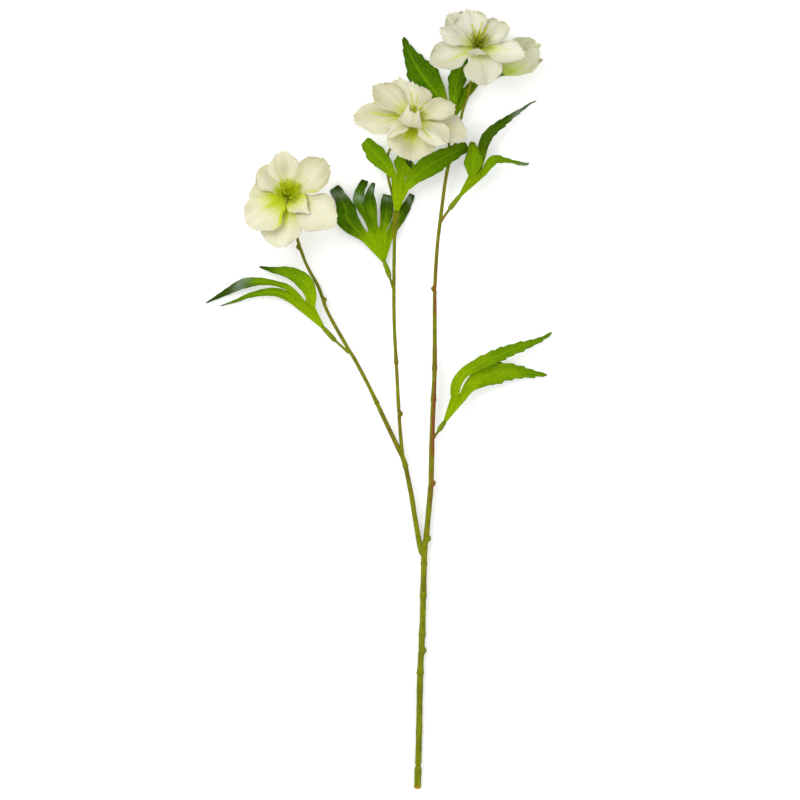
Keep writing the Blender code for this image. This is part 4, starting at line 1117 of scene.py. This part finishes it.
def stamen_tree():
    """A tuft of stamens: one curved filament with its anther, set many times in a spiral."""
    tree, given = new_group("stamen_tuft", "GeometryNodeTree", {
        "Start": "Geometry", "Count": 90, "Tuft Radius": 0.003, "Length": 0.010, "Spread": 1.0,
        "Unevenness": 0.2, "Filament Radius": 0.00012, "Anther Radius": 0.0003, "Seed": 3,
        "Centre": "Vector", "Turn": "Vector", "Finish": "Material"}, "Tuft", "Geometry")

    def vector(**parts):
        return node(tree, "ShaderNodeCombineXYZ", parts)

    bow = given["Length"] * BOW
    straight = node(tree, "GeometryNodeCurvePrimitiveLine",
                    {"Direction": (0, 0, 1), "Length": given["Length"]}, mode="DIRECTION")
    parted = node(tree, "GeometryNodeResampleCurve", {"Curve": straight, "Count": 7},
                  mode="COUNT")
    along = node(tree, "GeometryNodeSplineParameter")["Factor"]
    bowed = node(tree, "GeometryNodeSetPosition",
                 {"Geometry": parted, "Offset": vector(X=along.maths("POWER", 2.0) * bow)})
    marked = node(tree, "GeometryNodeStoreNamedAttribute",
                  {"Name": "height", "Geometry": bowed, "Value": along}, data_type="FLOAT")
    round_edge = node(tree, "GeometryNodeCurvePrimitiveCircle",
                      {"Resolution": 5, "Radius": given["Filament Radius"]}, mode="RADIUS")
    thread = node(tree, "GeometryNodeCurveToMesh",
                  {"Curve": marked, "Profile Curve": round_edge, "Fill Caps": True})
    anther = node(tree, "GeometryNodeMeshUVSphere",
                  {"Segments": 6, "Rings": 4, "Radius": given["Anther Radius"]})
    anther_marked = node(tree, "GeometryNodeStoreNamedAttribute",
                         {"Name": "height", "Value": ANTHER_HEIGHT, "Geometry": anther},
                         data_type="FLOAT")
    tipped = node(tree, "GeometryNodeTransform", {
        "Geometry": anther_marked, "Scale": (1, 1, 1.7),
        "Translation": vector(X=bow, Z=given["Length"])})
    stamen = node(tree, "GeometryNodeJoinGeometry", {0: [thread, tipped]})

    index = node(tree, "GeometryNodeInputIndex")
    turn = index * GOLDEN_ANGLE
    share = (index + 0.5).maths("DIVIDE", given["Count"]).maths("SQRT")
    across = share * turn.maths("COSINE")
    upward = share * turn.maths("SINE")
    radius = given["Tuft Radius"]
    dots = node(tree, "GeometryNodePoints", {
        "Count": given["Count"], "Position": vector(X=across * radius, Y=upward * radius)})
    lean = vector(X=across * given["Spread"], Y=upward * given["Spread"], Z=1)
    jitter = node(tree, "FunctionNodeRandomValue",
                  {"Min": (-1, -1, -1), "Max": (1, 1, 1), "Seed": given["Seed"]},
                  data_type="FLOAT_VECTOR")
    aim = node(tree, "ShaderNodeVectorMath", {0: lean, 1: scaled(jitter, given["Unevenness"])},
               operation="ADD")
    aimed = node(tree, "FunctionNodeAlignRotationToVector", {"Vector": aim}, axis="Z")
    size = node(tree, "FunctionNodeRandomValue", {2: 0.62, 3: 1.0, "Seed": given["Seed"] + 7},
                data_type="FLOAT")
    each = node(tree, "GeometryNodeInstanceOnPoints", {
        "Points": dots, "Instance": stamen, "Rotation": aimed, "Scale": size[1]})
    stood = node(tree, "GeometryNodeTransform", {
        "Geometry": each, "Translation": given["Centre"], "Rotation": given["Turn"]})
    end_geometry(tree, stood, given["Finish"])
    return tree


STAMEN_TUFT = stamen_tree()


STAMEN_MOSS = (0.22, 0.30, 0.004)


def stamen_finish(name, root, body, end, anther):
    """Filaments from dark green at the base to a lighter end, each with its anther."""
    made, tree, shader = new_finish(name, 0.6, 0.1)
    height = attribute(tree, "height")
    fill(shader, {"Base Color": layered(
        root, (ramp(height, 0.05, 0.45), body), (ramp(height, 0.55, 1.0), end),
        (ramp(height, 1.1, 1.25), anther), (blotches(tree, 0.002, 2.5) * 0.25, STAMEN_MOSS))})
    return made


BRIGHT_STAMENS = stamen_finish("stamen_yellow_green", (0.11, 0.19, 0.002),
                               (0.60, 0.72, 0.002), (0.74, 0.80, 0.008), (0.58, 0.68, 0.01))
OLIVE_STAMENS = stamen_finish("stamen_olive", (0.055, 0.03, 0.006), (0.27, 0.31, 0.006),
                              (0.46, 0.49, 0.03), (0.44, 0.45, 0.06))
TUFTS = {
    "left": (LEFT_FLOWER, 22, BRIGHT_STAMENS,
             dict(Count=230, Length=0.0125, Spread=1.3, Unevenness=0.24)),
    "middle": (MIDDLE_FLOWER, 0, OLIVE_STAMENS,
               dict(Count=100, Length=0.0085, Spread=1.0, Unevenness=0.2)),
    "top": (TOP_FLOWER, 0, OLIVE_STAMENS,
            dict(Count=110, Length=0.0118, Spread=0.95, Unevenness=0.24)),
}
for order, (flower_name, (flower, nod, finish, sizes)) in enumerate(TUFTS.items()):
    centre, axis = flower
    right, up = flower_directions(flower)
    nodding = Matrix.Rotation(math.radians(-nod), 3, right)
    turn = (nodding @ Matrix((right, up, axis)).transposed()).to_euler()
    start = bpy.data.meshes.new("tuft_start")
    start.from_pydata([placed(centre)], [], [])
    tuft = new_object(flower_name + "_flower_stamens", start)
    finished_mesh(tuft, STAMEN_TUFT, {
        "Tuft Radius": 3.0 * MM, "Filament Radius": 0.2 * MM, "Anther Radius": 0.38 * MM,
        "Seed": 3 + order, "Centre": tuple(placed(centre + axis * 3.0)), "Turn": tuple(turn),
        "Finish": finish, **sizes})
    hand_over(tuft, flower_name + "_stamens")

# ---------------------------------------------------------------- pistils
# In the middle of each open flower a small dark green ovary carries three long, thin yellow
# styles that curve outwards. They are moulded in one piece and pressed into the flower base.

PISTIL_FINISH = stem_finish("pistil_yellow", (0.82, 0.80, 0.03), (0.70, 0.71, 0.015),
                            (0.40, 0.46, 0.005))
PISTILS = {
    "left": (LEFT_FLOWER, [(120, 55, 9), (240, 75, 7), (0, 75, 7)]),
    "middle": (MIDDLE_FLOWER, [(108, 45, 20.5), (80, 45, 19), (30, 45, 17)]),
    "top": (TOP_FLOWER, [(118, 45, 18), (76, 45, 18.8), (48, 45, 19)]),
}
STYLE_STEPS = 14
for flower_name, (flower, styles) in PISTILS.items():
    centre, axis = flower
    lines = []
    for turn, lean, length in styles:
        out = outward(flower, turn)
        spot = centre + axis * 3.4 + out * 0.6
        line = [(spot, 0.62, 0.0)]
        for step in range(1, STYLE_STEPS + 1):
            share = step / STYLE_STEPS
            slope = math.radians(lean + 22 - 34 * share)
            ahead = math.cos(slope) * out + math.sin(slope) * axis
            spot = spot + ahead * (length / STYLE_STEPS)
            line.append((spot, 0.6 - 0.16 * share + 0.14 * (share > 0.9), 0.0))
        lines.append(line)
    lines.append([(centre + axis * (3.0 + 0.4 * step), 1.5 - 0.035 * step * step, 0.0)
                  for step in range(7)])
    grow(flower_name + "_flower_pistil", lines, PISTIL_FINISH, flower_name + "_pistil",
         (10, 3, 0.05, 0.04, 1.0))

# ---------------------------------------------------------------- table, light and camera
# The spray lies on a plain white table under soft studio light, seen from straight above with a
# long lens.


def table_finish():
    """White table paint that glows a little to the camera only, so that it looks pure white."""
    made, tree, shader = new_finish("table_white", 0.9, 0.0)
    fill(shader, {"Base Color": (0.93, 0.93, 0.93, 1)})
    seen = node(tree, "ShaderNodeLightPath")["Is Camera Ray"]
    glow = node(tree, "ShaderNodeEmission", {"Strength": seen * 0.3})
    both = node(tree, "ShaderNodeAddShader", {0: Wire(shader), 1: glow})
    fill(tree.nodes["Material Output"], {"Surface": both})
    return made


TABLE_REACH, TABLE_TOP = 3.0, -0.0003
table_mesh = bpy.data.meshes.new("table")
table_mesh.from_pydata(
    [(x * TABLE_REACH, y * TABLE_REACH, TABLE_TOP)
     for x, y in ((-1, -1), (1, -1), (1, 1), (-1, 1))], [], [(0, 1, 2, 3)])
table_mesh.materials.append(table_finish())
new_object("table", table_mesh)

sky = bpy.data.worlds.new("studio")
bpy.context.scene.world = sky
sky.use_nodes = True
fill(sky.node_tree.nodes["Background"], {"Color": (1, 1, 1, 1), "Strength": 0.68})


def soft_box(name, place, size, watts):
    """A large square lamp aimed at the middle of the spray."""
    lamp = bpy.data.lights.new(name, "AREA")
    lamp.shape = "SQUARE"
    lamp.size = size
    lamp.energy = watts
    made = new_object(name, lamp)
    made.location = place
    aim = Vector((0, 0.1, 0)) - Vector(place)
    made.rotation_euler = aim.to_track_quat("-Z", "Y").to_euler()


soft_box("key", (-1.3, 1.1, 2.0), 1.7, 30)
soft_box("fill", (1.6, -0.6, 2.2), 1.8, 10)

FRAME_WIDTH = 680.0
LENS, SENSOR = 200, 36
lens = bpy.data.cameras.new("long_lens")
lens.lens = LENS
lens.sensor_width = SENSOR
lens.clip_end = 20
camera = new_object("camera", lens)
camera.location = placed((-15.3, 328.95, 12.0)) + UP * (FRAME_WIDTH / SENSOR * LENS * MM)
bpy.context.scene.camera = camera
bpy.context.scene.view_settings.view_transform = "Standard"
